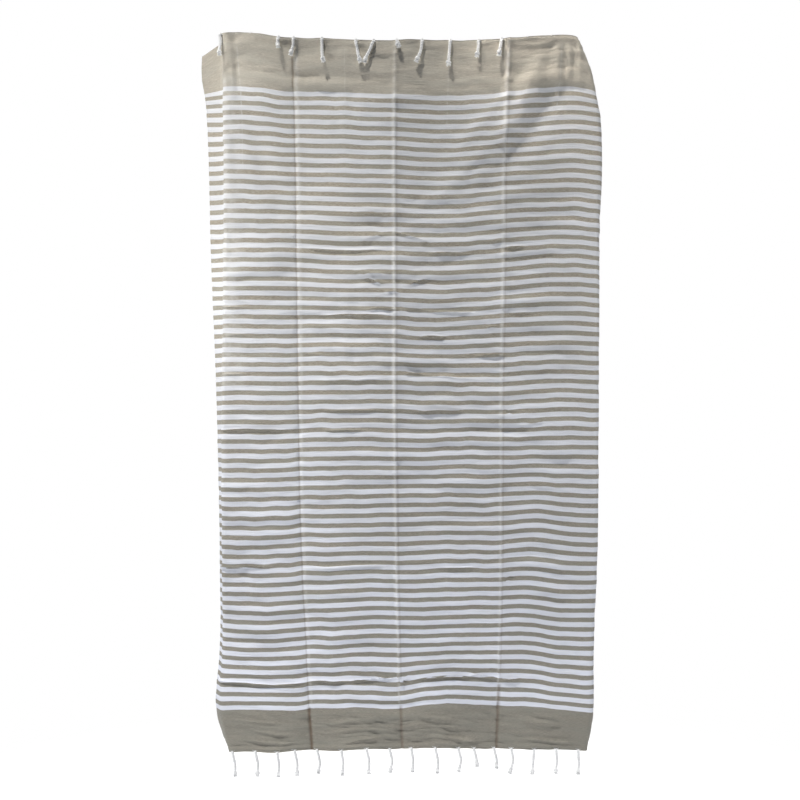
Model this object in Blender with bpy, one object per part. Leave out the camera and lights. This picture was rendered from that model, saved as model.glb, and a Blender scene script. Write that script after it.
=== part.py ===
"""A hammam towel hanging by its two upper corners.

The towel is one flat-woven cotton sheet, plain at both ends and striped between, with a row of
knotted tassels at its head and at its foot. It was stored folded in four, so three packing creases
run down it, and its two long margins curl back.

Metres, +Z up. The origin is the middle of the top edge, the front faces -Y and +X is to the right.
A place on the cloth is given by `across`, measured along a weft thread from the middle crease, and
`down`, measured along a warp thread from the top edge.
"""

import math
from collections import namedtuple
from functools import lru_cache

import bpy
import numpy as np
from mathutils import Vector

# The cloth as it was woven.
HEAD_BAND = 0.1228
FOOT_BAND = 0.1048
WHITE_STRIPE = 0.0114
BEIGE_STRIPE = 0.0104
WHITE_STRIPES = 66
BEIGE_STRIPES = 65
STRIPED = WHITE_STRIPES * WHITE_STRIPE + BEIGE_STRIPES * BEIGE_STRIPE
LENGTH = HEAD_BAND + STRIPED + FOOT_BAND
LEFT_EDGE = -0.505
RIGHT_EDGE = 0.520
THICKNESS = 0.0015

# The binding threads that hold the tassels, just off each end of the cloth.
STRIP_GAP = 0.0008
STRIP_HEIGHT = 0.0040

# One tassel: a twisted cord, its knot and the tuft below the knot.
CORD_RADIUS = 0.0021
KNOT_RADIUS = 0.0048
KNOT_LENGTH = 0.0080
KNOT_TOP = 0.0028
KNOT_BASE = 0.0060
KNOT_BASE_RADIUS = 0.0043
TUFT_NECK_RADIUS = 0.0023
TUFT_RADIUS = 0.0036
TUFT_LENGTH = 0.0060
TASSEL_SIDES = 4
CORD_STEP = 0.0080
TWIST_PER_RING = math.radians(50)
ROOT_RADIUS = 0.0011
WEFT_STEP = 0.004

# A head tassel leaves its strip outward, turns over the cloth's edge (drop and distance off the
# cloth for each step) and then hangs this far off the cloth, its knot a little further.
OVER_THE_EDGE = ((-0.0012, 0.0035), (0.0015, 0.0056))
HEAD_CLEARANCE = 0.0050
KNOT_CLEARANCE = 0.0030

# Levels down the cloth at which the cross-section is described. The last is the foot edge.
LEVELS = (0.0, 0.05, 0.15, 0.50, 0.85, 1.20, 1.42, 1.56, LENGTH)

# Folds that run down the cloth. Each turns the cloth by `turn` degrees, spread over `half_width`
# to each side of `across`. A positive turn bulges to the front, and a negative one is a valley.
Fold = namedtuple("Fold", "name half_width across turn")
FOLDS = (
    Fold("left rim", 0.010,
         (-.448, -.448, -.455, -.464, -.472, -.480, -.487, -.492, -.485),
         (-66, -66, -60, -46, -26, -24, -12, 0, 0)),
    Fold("left turn", 0.012,
         (-.412, -.413, -.418, -.426, -.437, -.446, -.460, -.468, -.458),
         (80, 78, 74, 70, 76, 80, 70, 60, 70)),
    Fold("left panel", 0.080, (-.335,) * 9, (4, 5, 6, 6, 6, 5, 6, 10, 16)),
    Fold("left crease", 0.006, (-.247,) * 9, (-9, -10, -11, -11, -12, -12, -13, -18, -22)),
    Fold("left belly", 0.100, (-.124,) * 9, (6, 6, 7, 8, 8, 10, 12, 18, 24)),
    Fold("middle crease", 0.006, (0.0,) * 9, (8, 10, 12, 12, 10, 8, 6, -8, -16)),
    Fold("right belly", 0.100, (.131,) * 9, (-8, -8, -8, -6, -4, -2, 4, 16, 28)),
    Fold("right crease", 0.006, (.262,) * 9, (8, 9, 10, 10, 9, 8, 4, -10, -20)),
    Fold("right panel", 0.080, (.370,) * 9, (6, 6, 6, 6, 7, 8, 6, 8, 10)),
    Fold("right turn", 0.014,
         (.425, .450, .482, .492, .500, .504, .504, .503, .498),
         (105, 96, 80, 62, 56, 50, 56, 60, 74)),
)

# How the middle crease hangs at each level: its x and y, the way the cloth faces there in degrees,
# and the share of its width that the cloth loses to fine puckers. The panels outside OUTER_PANELS
# lose only OUTER_SHARE of that.
CREASE_X = (-.0093, -.0100, -.0115, -.0115, -.0110, -.0070, -.0025, .0010, .0045)
CREASE_Y = (.000, -.002, -.004, -.010, -.012, -.010, -.006, -.003, .000)
CREASE_TURN = (-2, -2, -2, -2, -2, -1, -1, 0, 0)
PUCKERED = (.000, .000, .015, .035, .055, .070, .095, .120, .130)
OUTER_SHARE = 0.4
OUTER_PANELS = 0.26
OUTER_FADE = 0.05

# How far the weft threads ride above their level, in millimetres, for each place across (columns)
# and each place down (rows). The cloth is held near across -0.41 and 0.38, where the head is high.
RISE_ACROSS = (-.505, -.42, -.33, -.27, -.235, -.18, -.12, 0.0, .06, .13, .262, .34, .42, .520)
Rise = namedtuple("Rise", "down values")
RISES = (
    Rise(0.00, (-15, 23, 22, 13, 10, 6, 3, -3, -3, -3, -1, 6, 3, -58)),
    Rise(0.05, (0, 30, 24, 16, 13, 9, 5, -2, -2, -3, 1, 10, 13, -28)),
    Rise(0.15, (33, 33, 27, 20, 17, 12, 8, 0, -3, -3, 4, 13, 21, 11)),
    Rise(0.32, (24, 24, 19, 15, 13, 9, 6, 0, -3, -4, 6, 12, 18, 11)),
    Rise(0.50, (12, 10, 9, 8, 6, 3, 0, -2, -4, -4, 5, 11, 15, 10)),
    Rise(0.68, (2, 4, 3, 2, 3, 4, 3, 1, -2, -3, 3, 8, 10, 5)),
    Rise(0.85, (-8, -4, -4, -3, -1, 0, 1, 2, 0, 2, 3, 5, 5, 2)),
    Rise(1.20, (-22, -22, -21, -17, -13, -11, -7, -4, -3, -2, -1, 1, -8, -18)),
    Rise(1.40, (-26, -28, -27, -23, -13, -14, -8, -3, -2, -1, -2, -6, -20, -31)),
    Rise(1.54, (-22, -21, -21, -23, -9, -12, -4, -1, 4, 5, -4, -7, -21, -34)),
    Rise(LENGTH, (-12, -6, -6, -1, 0, 1, 6, 5, 8, 9, -3, -6, -10, -20)),
)

# Soft ridges and troughs between two places on the cloth, (across, down) each. A positive height
# stands out to the front. They fade out over their last quarter at each end.
Ridge = namedtuple("Ridge", "name start end half_width height")
RIDGES = (
    Ridge("right drag, upper", (.385, .030), (.235, .260), 0.055, 0.010),
    Ridge("right drag, lower", (.290, .190), (.080, .400), 0.050, 0.008),
    Ridge("right drag hollow", (.420, .080), (.190, .400), 0.050, -0.006),
    Ridge("left drag", (-.400, .040), (-.300, .380), 0.040, -0.005),
    Ridge("chest arc, left", (-.080, .475), (.010, .450), 0.012, 0.003),
    Ridge("chest arc, right", (-.010, .450), (.080, .480), 0.012, 0.003),
    Ridge("waist pucker", (-.220, .640), (.000, .620), 0.012, -0.003),
    Ridge("knee pucker", (.040, 1.225), (.200, 1.230), 0.012, -0.003),
    Ridge("hip fold, left", (-.470, 1.470), (-.230, 1.490), 0.014, -0.005),
    Ridge("hip fold, middle", (-.260, 1.488), (.020, 1.475), 0.014, -0.004),
    Ridge("hip fold, right", (-.010, 1.485), (.300, 1.480), 0.014, -0.004),
)
RIDGE_FADE = 0.25

# Mesh steps: the usual step between columns, counted at the chest, and between rows. A turn of the
# margin has columns at TURN_STOPS of its half width, and a cross fold has three rows of its own.
COLUMN_STEP = 0.052
ROW_STEP = 0.033
CHEST = 0.50
TURN_STOPS = (-1.0, -0.4, 0.2, 1.0)
CROSS_FOLDS = (0.462, 0.630, 1.228, 1.482)
CROSS_FOLD_HALF = 0.012
CROSS_FOLD_MARGIN = 0.017
END_ROW = 0.004
SECTION_SAMPLES = 1021
SAME_PLACE = 1e-5

# A tassel: its place across, how far its middle and its tip sway to the right, its length, and the
# side of the cloth on which it hangs.
Tassel = namedtuple("Tassel", "across middle_sway tip_sway length side")
FRONT = 1
BACK = -1
BELOW = 0

# Tassels of the foot hang free below it.
FOOT_TASSELS = (
    Tassel(-.451, .007, .007, .064, BELOW),
    Tassel(-.392, .007, .004, .064, BELOW),
    Tassel(-.336, .005, .002, .063, BELOW),
    Tassel(-.293, .007, .005, .065, BELOW),
    Tassel(-.233, .007, .002, .062, BELOW),
    Tassel(-.165, .005, .002, .064, BELOW),
    Tassel(-.097, .007, .005, .064, BELOW),
    Tassel(-.035, .007, .000, .060, BELOW),
    Tassel(.025, .005, .002, .062, BELOW),
    Tassel(.090, .007, .005, .065, BELOW),
    Tassel(.153, .007, .000, .061, BELOW),
    Tassel(.196, .007, .009, .049, BELOW),
    Tassel(.255, .007, .007, .055, BELOW),
    Tassel(.302, .005, -.005, .064, BELOW),
    Tassel(.360, -.002, -.005, .065, BELOW),
    Tassel(.417, .002, -.002, .064, BELOW),
    Tassel(.475, .002, .000, .064, BELOW),
)

# Tassels of the head: most have fallen forward over the head band, the rest hang behind.
HEAD_TASSELS = (
    Tassel(-.470, .002, .000, .060, BACK),
    Tassel(-.414, .002, .001, .058, FRONT),
    Tassel(-.345, .002, .004, .060, BACK),
    Tassel(-.278, -.001, .000, .030, FRONT),
    Tassel(-.241, -.003, -.011, .044, FRONT),
    Tassel(-.173, .001, .006, .060, FRONT),
    Tassel(-.093, .006, .014, .057, FRONT),
    Tassel(-.051, -.011, -.022, .056, FRONT),
    Tassel(.003, .002, .007, .020, FRONT),
    Tassel(.061, -.004, -.016, .055, FRONT),
    Tassel(.126, -.002, -.004, .062, FRONT),
    Tassel(.192, -.001, -.005, .043, FRONT),
    Tassel(.245, -.003, -.007, .043, FRONT),
    Tassel(.305, .003, .004, .060, BACK),
    Tassel(.360, -.002, .002, .058, BACK),
    Tassel(.480, .002, .003, .060, BACK),
)

BEIGE_AND_WHITE = (0.56, 0.55, 0.52, 1.0)
IVORY = (0.80, 0.79, 0.75, 1.0)
CLOTH_ROUGHNESS = 0.95
YARN_ROUGHNESS = 0.90


def clear_scene():
    """Removes every object, so that the part stands alone."""
    for thing in list(bpy.data.objects):
        bpy.data.objects.remove(thing)


def through(knots, values, at):
    """Reads a smooth curve through `values` at `knots`, level beyond the first and the last."""
    knots = np.asarray(knots, float)
    values = np.asarray(values, float)
    slopes = np.gradient(values, knots, axis=0)
    at = min(max(at, knots[0]), knots[-1])
    i = min(int(np.searchsorted(knots, at, side="right")) - 1, len(knots) - 2)
    step = knots[i + 1] - knots[i]
    u = (at - knots[i]) / step
    return (
        (2 * u**3 - 3 * u**2 + 1) * values[i]
        + (u**3 - 2 * u**2 + u) * step * slopes[i]
        + (3 * u**2 - 2 * u**3) * values[i + 1]
        + (u**3 - u**2) * step * slopes[i + 1]
    )


def ease(x):
    """Rises smoothly from 0 at -1 to 1 at 1."""
    x = np.clip(x, -1.0, 1.0)
    return 0.5 + 0.25 * (3 * x - x**3)


def running_sum(values, step):
    """The integral of evenly spaced `values` from the first of them."""
    halves = (values[1:] + values[:-1]) / 2 * step
    return np.concatenate([[0.0], np.cumsum(halves)])


@lru_cache(maxsize=None)
def section(down):
    """The cloth's level cross-section: its samples across, their x and y, and their heading."""
    across = np.linspace(LEFT_EDGE, RIGHT_EDGE, SECTION_SAMPLES)
    middle = int(np.argmin(np.abs(across)))
    heading = np.zeros(SECTION_SAMPLES)
    for fold in FOLDS:
        place_across = through(LEVELS, fold.across, down)
        turn = math.radians(through(LEVELS, fold.turn, down))
        heading += turn * ease((across - place_across) / fold.half_width)
    heading += math.radians(through(LEVELS, CREASE_TURN, down)) - heading[middle]
    outer = ease((np.abs(across) - OUTER_PANELS) / OUTER_FADE)
    kept = 1 - through(LEVELS, PUCKERED, down) * (1 - (1 - OUTER_SHARE) * outer)
    step = across[1] - across[0]
    x = running_sum(np.cos(heading) * kept, step)
    y = running_sum(np.sin(heading), step)
    x += through(LEVELS, CREASE_X, down) - x[middle]
    y += through(LEVELS, CREASE_Y, down) - y[middle]
    return across, x, y, heading


@lru_cache(maxsize=None)
def rise_row(down):
    """How far the weft rides above its level at each of RISE_ACROSS, in metres."""
    rows = np.array([row.values for row in RISES], float) / 1000
    return through([row.down for row in RISES], rows, down)


def ridge_height(across, down):
    """How far the ridges and troughs lift the cloth at a place, towards its front."""
    height = 0.0
    for ridge in RIDGES:
        start = np.array(ridge.start)
        run = np.array(ridge.end) - start
        offset = np.array((across, down)) - start
        along = float(offset @ run) / float(run @ run)
        aside = abs(float(offset[0] * run[1] - offset[1] * run[0])) / math.hypot(*run)
        if 0 < along < 1 and aside < ridge.half_width:
            ends = ease(2 * min(along, 1 - along) / RIDGE_FADE - 1)
            height += ridge.height * ends * (1 - ease(2 * aside / ridge.half_width - 1))
    return height


def place_on_cloth(across, down, lift):
    """The point of the hanging cloth at a place on it, moved `lift` off its front."""
    samples, x, y, heading = section(down)
    turn = float(np.interp(across, samples, heading))
    out = lift + ridge_height(across, down)
    rise = through(RISE_ACROSS, rise_row(down), across)
    return Vector((
        float(np.interp(across, samples, x)) + math.sin(turn) * out,
        float(np.interp(across, samples, y)) - math.cos(turn) * out,
        rise - down,
    ))


def place(across, down, lift=0.0):
    """As place_on_cloth, and past either end the point straight on along the warp."""
    edge = min(max(down, 0.0), LENGTH)
    point = place_on_cloth(across, edge, lift)
    past = abs(down - edge)
    if past > SAME_PLACE:
        inner = abs(edge - END_ROW)
        point += (point - place_on_cloth(across, inner, lift)) * (past / END_ROW)
    return point


def fold_stops(down):
    """Places across where the margins, the folds and the creases of one row begin and end."""
    stops = [LEFT_EDGE]
    for fold in FOLDS:
        at = through(LEVELS, fold.across, down)
        if "turn" in fold.name:
            stops += [at + fold.half_width * share for share in TURN_STOPS]
        elif "rim" in fold.name or "crease" in fold.name:
            stops += [at - fold.half_width, at + fold.half_width]
    return stops + [RIGHT_EDGE]


def columns(down):
    """Places across for the mesh columns of one row. They follow the folds as these wander."""
    stops = fold_stops(down)
    chest = fold_stops(CHEST)
    places = []
    for i in range(len(stops) - 1):
        steps = max(1, round((chest[i + 1] - chest[i]) / COLUMN_STEP))
        width = stops[i + 1] - stops[i]
        places += [stops[i] + width * step / steps for step in range(steps)]
    return places + [RIGHT_EDGE]


def rows():
    """Places down for the mesh rows: evenly spaced, with three at each cross fold."""
    count = round(LENGTH / ROW_STEP)
    places = [LENGTH * i / count for i in range(count + 1)]
    for fold in CROSS_FOLDS:
        places = [p for p in places if abs(p - fold) > CROSS_FOLD_MARGIN]
        places += [fold - CROSS_FOLD_HALF, fold, fold + CROSS_FOLD_HALF]
    return sorted(places + [END_ROW, LENGTH - END_ROW])


def cloth_object(name, downs, material):
    """A thin closed solid of the hanging cloth between the first and the last of `downs`."""
    grid = [[place(across, down) for across in columns(down)] for down in downs]
    width = len(grid[0])
    points = [point for row in grid for point in row]
    faces = []
    for r in range(len(grid) - 1):
        for c in range(width - 1):
            corner = r * width + c
            faces.append((corner, corner + width, corner + width + 1, corner + 1))
    mesh = bpy.data.meshes.new(name)
    mesh.from_pydata(points, [], faces)
    mesh.materials.append(material)
    thing = bpy.data.objects.new(name, mesh)
    bpy.context.scene.collection.objects.link(thing)
    shell = thing.modifiers.new("thickness", "SOLIDIFY")
    shell.thickness = THICKNESS
    shell.offset = 0.0
    shell.use_even_offset = False
    mesh.shade_smooth()
    return thing


def cord_run(tassel):
    """The steps along a tassel: how far below its root, how far off the cloth, and its radius."""
    cord_length = tassel.length - KNOT_LENGTH - TUFT_LENGTH
    if tassel.side == BELOW:
        run = [(0.0, 0.0, CORD_RADIUS)]
        clearance = 0.0
        knot_clearance = 0.0
    else:
        run = [(0.0, 0.0, ROOT_RADIUS)]
        run += [(drop, lift, CORD_RADIUS) for drop, lift in OVER_THE_EDGE]
        clearance = HEAD_CLEARANCE
        knot_clearance = HEAD_CLEARANCE + KNOT_CLEARANCE
    first = run[-1][0]
    steps = max(1, round((cord_length - first) / CORD_STEP))
    for i in range(1, steps + 1):
        run.append((first + (cord_length - first) * i / steps, clearance, CORD_RADIUS))
    run += [
        (cord_length + KNOT_TOP, knot_clearance, KNOT_RADIUS),
        (cord_length + KNOT_BASE, knot_clearance, KNOT_BASE_RADIUS),
        (cord_length + KNOT_LENGTH, knot_clearance, TUFT_NECK_RADIUS),
        (tassel.length, knot_clearance, TUFT_RADIUS),
    ]
    return run


def tassel_line(tassel):
    """Points along one tassel's middle, from its root in the strip, with each point's radius."""
    if tassel.side == BELOW:
        root_down = LENGTH + STRIP_GAP + STRIP_HEIGHT / 2
    else:
        root_down = -STRIP_GAP - STRIP_HEIGHT / 2
    line = []
    for drop, lift, radius in cord_run(tassel):
        share = drop / tassel.length
        sway = through((0, 0.5, 1), (0, tassel.middle_sway, tassel.tip_sway), share)
        if tassel.side == BELOW:
            point = place(tassel.across, root_down) + Vector((sway, 0, -drop))
        else:
            point = place(tassel.across + sway, root_down + drop, tassel.side * lift)
        line.append((point, radius))
    return line


def tassel_object(name, tassel):
    """One tassel as a closed loft of square rings that turn like the twist of its cord."""
    line = tassel_line(tassel)
    edge = LENGTH if tassel.side == BELOW else 0.0
    weft = place(tassel.across + WEFT_STEP, edge) - place(tassel.across - WEFT_STEP, edge)
    points = []
    for i, (centre, radius) in enumerate(line):
        before = line[max(i - 1, 0)][0]
        after = line[min(i + 1, len(line) - 1)][0]
        tangent = (after - before).normalized()
        side = (weft - tangent * tangent.dot(weft)).normalized()
        front = tangent.cross(side)
        for corner in range(TASSEL_SIDES):
            angle = 2 * math.pi * corner / TASSEL_SIDES + TWIST_PER_RING * i
            points.append(centre + (side * math.cos(angle) + front * math.sin(angle)) * radius)
    faces = [tuple(reversed(range(TASSEL_SIDES)))]
    for ring in range(len(line) - 1):
        for corner in range(TASSEL_SIDES):
            here = ring * TASSEL_SIDES
            following = (corner + 1) % TASSEL_SIDES
            below = here + TASSEL_SIDES
            faces.append((here + corner, here + following, below + following, below + corner))
    faces.append(tuple(range(len(points) - TASSEL_SIDES, len(points))))
    mesh = bpy.data.meshes.new(name)
    mesh.from_pydata(points, [], faces)
    return bpy.data.objects.new(name, mesh)


def fringe_object(name, downs, tassels, material):
    """A row of tassels whose roots are fused into one narrow strip of binding threads."""
    strip = cloth_object(name, downs, material)
    cords = bpy.data.collections.new(name + "_cords")
    bpy.context.scene.collection.children.link(cords)
    for number, tassel in enumerate(tassels):
        cord = tassel_object(f"{name}_cord_{number}", tassel)
        cord.hide_render = True
        cord.display_type = "WIRE"
        cords.objects.link(cord)
    join = strip.modifiers.new("cords", "BOOLEAN")
    join.operation = "UNION"
    join.operand_type = "COLLECTION"
    join.collection = cords
    join.solver = "EXACT"
    return strip


def finish(name, colour, roughness):
    """A plain Principled material."""
    material = bpy.data.materials.new(name)
    material.use_nodes = True
    shader = material.node_tree.nodes["Principled BSDF"]
    shader.inputs["Base Color"].default_value = colour
    shader.inputs["Roughness"].default_value = roughness
    shader.inputs["Metallic"].default_value = 0.0
    return material


def main():
    """Builds the sheet and its two fringes."""
    clear_scene()
    cloth = finish("woven_cotton", BEIGE_AND_WHITE, CLOTH_ROUGHNESS)
    yarn = finish("tassel_yarn", IVORY, YARN_ROUGHNESS)
    cloth_object("towel", rows(), cloth)
    head = (-STRIP_GAP - STRIP_HEIGHT, -STRIP_GAP)
    foot = (LENGTH + STRIP_GAP, LENGTH + STRIP_GAP + STRIP_HEIGHT)
    fringe_object("fringe_head", head, HEAD_TASSELS, yarn)
    fringe_object("fringe_foot", foot, FOOT_TASSELS, yarn)


main()
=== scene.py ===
"""Dresses the hammam towel, which hangs by its two upper corners.

Metres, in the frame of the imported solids. The origin is the middle of the top edge, the front faces
-Y and +X is to the right. A place on the cloth is given by `across`, measured along a weft thread
from the middle crease, and `down`, measured along a warp thread from the top edge.
"""
import logging
import math
from dataclasses import dataclass, field
from enum import Enum
from typing import NamedTuple, Sequence

import bpy
import numpy as np
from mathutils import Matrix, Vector


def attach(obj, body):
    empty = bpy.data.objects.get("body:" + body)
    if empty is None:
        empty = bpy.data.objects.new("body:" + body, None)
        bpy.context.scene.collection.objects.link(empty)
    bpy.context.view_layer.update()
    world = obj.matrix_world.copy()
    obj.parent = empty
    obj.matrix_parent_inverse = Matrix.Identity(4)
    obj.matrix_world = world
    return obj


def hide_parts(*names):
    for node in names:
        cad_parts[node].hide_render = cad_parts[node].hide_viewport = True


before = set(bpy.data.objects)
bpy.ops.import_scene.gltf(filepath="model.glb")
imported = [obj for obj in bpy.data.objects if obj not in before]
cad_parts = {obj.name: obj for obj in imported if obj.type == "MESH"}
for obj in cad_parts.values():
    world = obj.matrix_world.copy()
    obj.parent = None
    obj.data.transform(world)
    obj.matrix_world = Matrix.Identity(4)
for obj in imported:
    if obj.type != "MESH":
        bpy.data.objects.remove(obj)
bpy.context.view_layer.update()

Array = np.ndarray
Colour = tuple[float, float, float, float]
Place = tuple[float, float]

CLOTH_MAP = "cloth"
BAKE_MAP = "OFBake"
UP = np.array((0.0, 0.0, 1.0))
PURE_WHITE = (1.0, 1.0, 1.0, 1.0)

log = logging.getLogger("hammam_towel")


# ---------------------------------------------------------------------------------------------
# Curves and waves
# ---------------------------------------------------------------------------------------------


def through(knots: Sequence[float], values: Sequence, at: Array | float) -> Array:
    """Reads a smooth curve through values at knots, level beyond the first and the last.

    Args:
        knots: Rising places at which the values are given.
        values: One value, or one row of values, for each knot.
        at: Places to read, one number or an array of them.

    Returns:
        The values there.
    """
    knots = np.asarray(knots, float)
    values = np.asarray(values, float)
    slopes = np.gradient(values, knots, axis=0)
    at = np.clip(at, knots[0], knots[-1])
    i = np.clip(np.searchsorted(knots, at, side="right") - 1, 0, len(knots) - 2)
    step = knots[i + 1] - knots[i]
    u = (at - knots[i]) / step
    return (
        (2 * u**3 - 3 * u**2 + 1) * values[i]
        + (u**3 - 2 * u**2 + u) * step * slopes[i]
        + (3 * u**2 - 2 * u**3) * values[i + 1]
        + (u**3 - u**2) * step * slopes[i + 1]
    )


def through_rows(knots: Array, rows: Array, at: Array) -> Array:
    """Points at some runs of a smooth path through rows of points, each at its knot."""
    return np.stack([through(knots, rows[:, axis], at) for axis in range(3)], 1)


def frames_along(path: Array) -> tuple[Array, Array]:
    """Two ways across a path that turn no more than it does.

    Args:
        path: The points along it.

    Returns:
        The first and the second way at each point.
    """
    tangents = np.gradient(path, axis=0)
    tangents /= np.linalg.norm(tangents, axis=1)[:, None]
    side = np.array((1.0, 0.0, 0.0))
    sides = []
    for tangent in tangents:
        side = side - tangent * side.dot(tangent)
        side = side / np.linalg.norm(side)
        sides.append(side)
    sides = np.array(sides)
    return sides, np.cross(tangents, sides)


def ease(x: Array | float) -> Array:
    """Rises smoothly from 0 at -1 to 1 at 1."""
    x = np.clip(x, -1.0, 1.0)
    return 0.5 + 0.25 * (3 * x - x**3)


def running_sum(values: Array, step: float) -> Array:
    """The integral of values that stand a step apart, from the first of them."""
    halves = (values[1:] + values[:-1]) / 2 * step
    return np.concatenate([[0.0], np.cumsum(halves)])


def run_along(points: Array) -> Array:
    """The length of a path up to each of its points."""
    steps = np.linalg.norm(np.diff(points, axis=0), axis=1)
    return np.concatenate([[0.0], np.cumsum(steps)])


def normals(grid: Array) -> Array:
    """The way that each point of a grid of points faces."""
    normal = np.cross(np.gradient(grid, axis=0), np.gradient(grid, axis=1))
    return normal / np.linalg.norm(normal, axis=2)[:, :, None]


class Spot(NamedTuple):
    """A place where mesh lines stand closer together."""

    at: float
    half_width: float
    extra: float


SPREAD_SAMPLES = 2401


def spread(start: float, end: float, count: int, spots: Sequence[Spot]) -> Array:
    """Lays out places from start to end, closer together at the spots.

    Args:
        start: The first place.
        end: The last place.
        count: How many steps there are.
        spots: Where the steps are shorter, and by how much.

    Returns:
        The count + 1 places.
    """
    fine = np.linspace(start, end, SPREAD_SAMPLES)
    density = np.ones(len(fine))
    for spot in spots:
        density += spot.extra * np.exp(-(((fine - spot.at) / spot.half_width) ** 2))
    total = running_sum(density, fine[1] - fine[0])
    return np.interp(np.linspace(0.0, total[-1], count + 1), total, fine)


# Waves begin and end over WAVE_EDGE. A tangle is the sum of WAVE_COUNT plain waves. Its height
# swings between patches PATCH_STRETCH times as large as the waves, sums of PATCH_COUNT waves.
WAVE_EDGE = 0.018
WAVE_COUNT = 20
PATCH_COUNT = 6
PATCH_STRETCH = 4.0
PATCH_LOW = 0.35
PATCH_SWING = 1.1


class Waves(NamedTuple):
    """Uneven small waves over part of the cloth, stronger in some patches than in others."""

    name: str
    wave_across: float
    wave_down: float
    height: float
    top: float
    foot: float
    seed: int

    def tangle(self, across: Array, down: Array, stretch: float, count: int) -> Array:
        """A sum of plain waves that run in many directions.

        Args:
            across: Places across the cloth.
            down: Places down the cloth.
            stretch: How much longer these waves are than the waves' own length.
            count: How many of them there are.

        Returns:
            The sum at each place, about 1 at its high places.
        """
        source = np.random.default_rng(self.seed + count)
        size = np.array((self.wave_across, self.wave_down)) * stretch
        turns = source.normal(size=(count, 2)) * 2 * math.pi / size
        starts = source.uniform(0, 2 * math.pi, count)
        total = np.zeros(np.broadcast(across, down).shape)
        for (turn_across, turn_down), start in zip(turns, starts):
            total += np.sin(turn_across * across + turn_down * down + start)
        return total / math.sqrt(count / 2)

    def at(self, across: Array, down: Array) -> Array:
        """How high the waves stand.

        Args:
            across: Places across the cloth.
            down: Places down the cloth.

        Returns:
            Their height at each place, in metres.
        """
        shown = ease((down - self.top) / WAVE_EDGE) * ease((self.foot - down) / WAVE_EDGE)
        swing = ease(self.tangle(across, down, PATCH_STRETCH, PATCH_COUNT))
        patches = PATCH_LOW + PATCH_SWING * swing
        return self.height * shown * patches * self.tangle(across, down, 1.0, WAVE_COUNT)


# ---------------------------------------------------------------------------------------------
# The cloth as it was woven, and how it hangs
# ---------------------------------------------------------------------------------------------


@dataclass(frozen=True)
class Weave:
    """The sizes to which the towel was woven."""

    head_band: float = 0.1228
    foot_band: float = 0.1048
    white_stripe: float = 0.0114
    beige_stripe: float = 0.0104
    white_stripes: int = 66
    beige_stripes: int = 65
    left_edge: float = -0.505
    right_edge: float = 0.520
    thread: float = 0.0009

    @property
    def pitch(self) -> float:
        """One white and one beige stripe."""
        return self.white_stripe + self.beige_stripe

    @property
    def striped(self) -> float:
        """The length of the striped field."""
        return self.white_stripes * self.white_stripe + self.beige_stripes * self.beige_stripe

    @property
    def length(self) -> float:
        """The length of the cloth between its two fringes."""
        return self.head_band + self.striped + self.foot_band

    @property
    def width(self) -> float:
        """The width of the cloth from edge to edge."""
        return self.right_edge - self.left_edge


WEAVE = Weave()


class Fold(NamedTuple):
    """A fold that runs down the cloth and turns it by some degrees at each level."""

    name: str
    half_width: float
    across: tuple
    turn: tuple


class Rise(NamedTuple):
    """How far one weft thread rides above its level, in millimetres, at places across it."""

    down: float
    values: tuple


FOLDS = (
    Fold("left rim", 0.010,
         (-.448, -.448, -.455, -.464, -.472, -.480, -.487, -.492, -.485),
         (-66, -66, -60, -46, -26, -24, -12, 0, 0)),
    Fold("left turn", 0.012,
         (-.412, -.413, -.418, -.426, -.437, -.446, -.460, -.468, -.458),
         (80, 78, 74, 70, 76, 80, 70, 60, 70)),
    Fold("left panel", 0.080, (-.335,) * 9, (4, 5, 6, 6, 6, 5, 6, 10, 16)),
    Fold("left crease", 0.006, (-.247,) * 9, (-9, -10, -11, -11, -12, -12, -13, -18, -22)),
    Fold("left belly", 0.100, (-.124,) * 9, (6, 6, 7, 8, 8, 10, 12, 18, 24)),
    Fold("middle crease", 0.006, (0.0,) * 9, (8, 10, 12, 12, 10, 8, 6, -8, -16)),
    Fold("right belly", 0.100, (.131,) * 9, (-8, -8, -8, -6, -4, -2, 4, 16, 28)),
    Fold("right crease", 0.006, (.262,) * 9, (8, 9, 10, 10, 9, 8, 4, -10, -20)),
    Fold("right panel", 0.080, (.370,) * 9, (6, 6, 6, 6, 7, 8, 6, 8, 10)),
    Fold("right turn", 0.014,
         (.425, .450, .482, .492, .500, .504, .504, .503, .498),
         (105, 96, 80, 62, 56, 50, 56, 60, 74)),
)

RISES = (
    Rise(0.00, (-15, 23, 22, 13, 10, 6, 3, -3, -3, -3, -1, 6, 3, -58)),
    Rise(0.05, (0, 30, 24, 16, 13, 9, 5, -2, -2, -3, 1, 10, 13, -28)),
    Rise(0.15, (33, 33, 27, 20, 17, 12, 8, 0, -3, -3, 4, 13, 21, 11)),
    Rise(0.32, (24, 24, 19, 15, 13, 9, 6, 0, -3, -4, 6, 12, 18, 11)),
    Rise(0.50, (12, 10, 9, 8, 6, 3, 0, -2, -4, -4, 5, 11, 15, 10)),
    Rise(0.68, (2, 4, 3, 2, 3, 4, 3, 1, -2, -3, 3, 8, 10, 5)),
    Rise(0.85, (-8, -4, -4, -3, -1, 0, 1, 2, 0, 2, 3, 5, 5, 2)),
    Rise(1.20, (-22, -22, -21, -17, -13, -11, -7, -4, -3, -2, -1, 1, -8, -18)),
    Rise(1.40, (-26, -28, -27, -22, -17, -14, -8, -3, -2, -1, -2, -6, -20, -31)),
    Rise(1.54, (-22, -18, -17, -17, -12, -9, -5, -8, 0, 4, -4, -6, -20, -34)),
    Rise(WEAVE.length, (-12, -6, -6, -1, 0, 1, 6, 5, 8, 9, -3, -6, -10, -20)),
)


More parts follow.
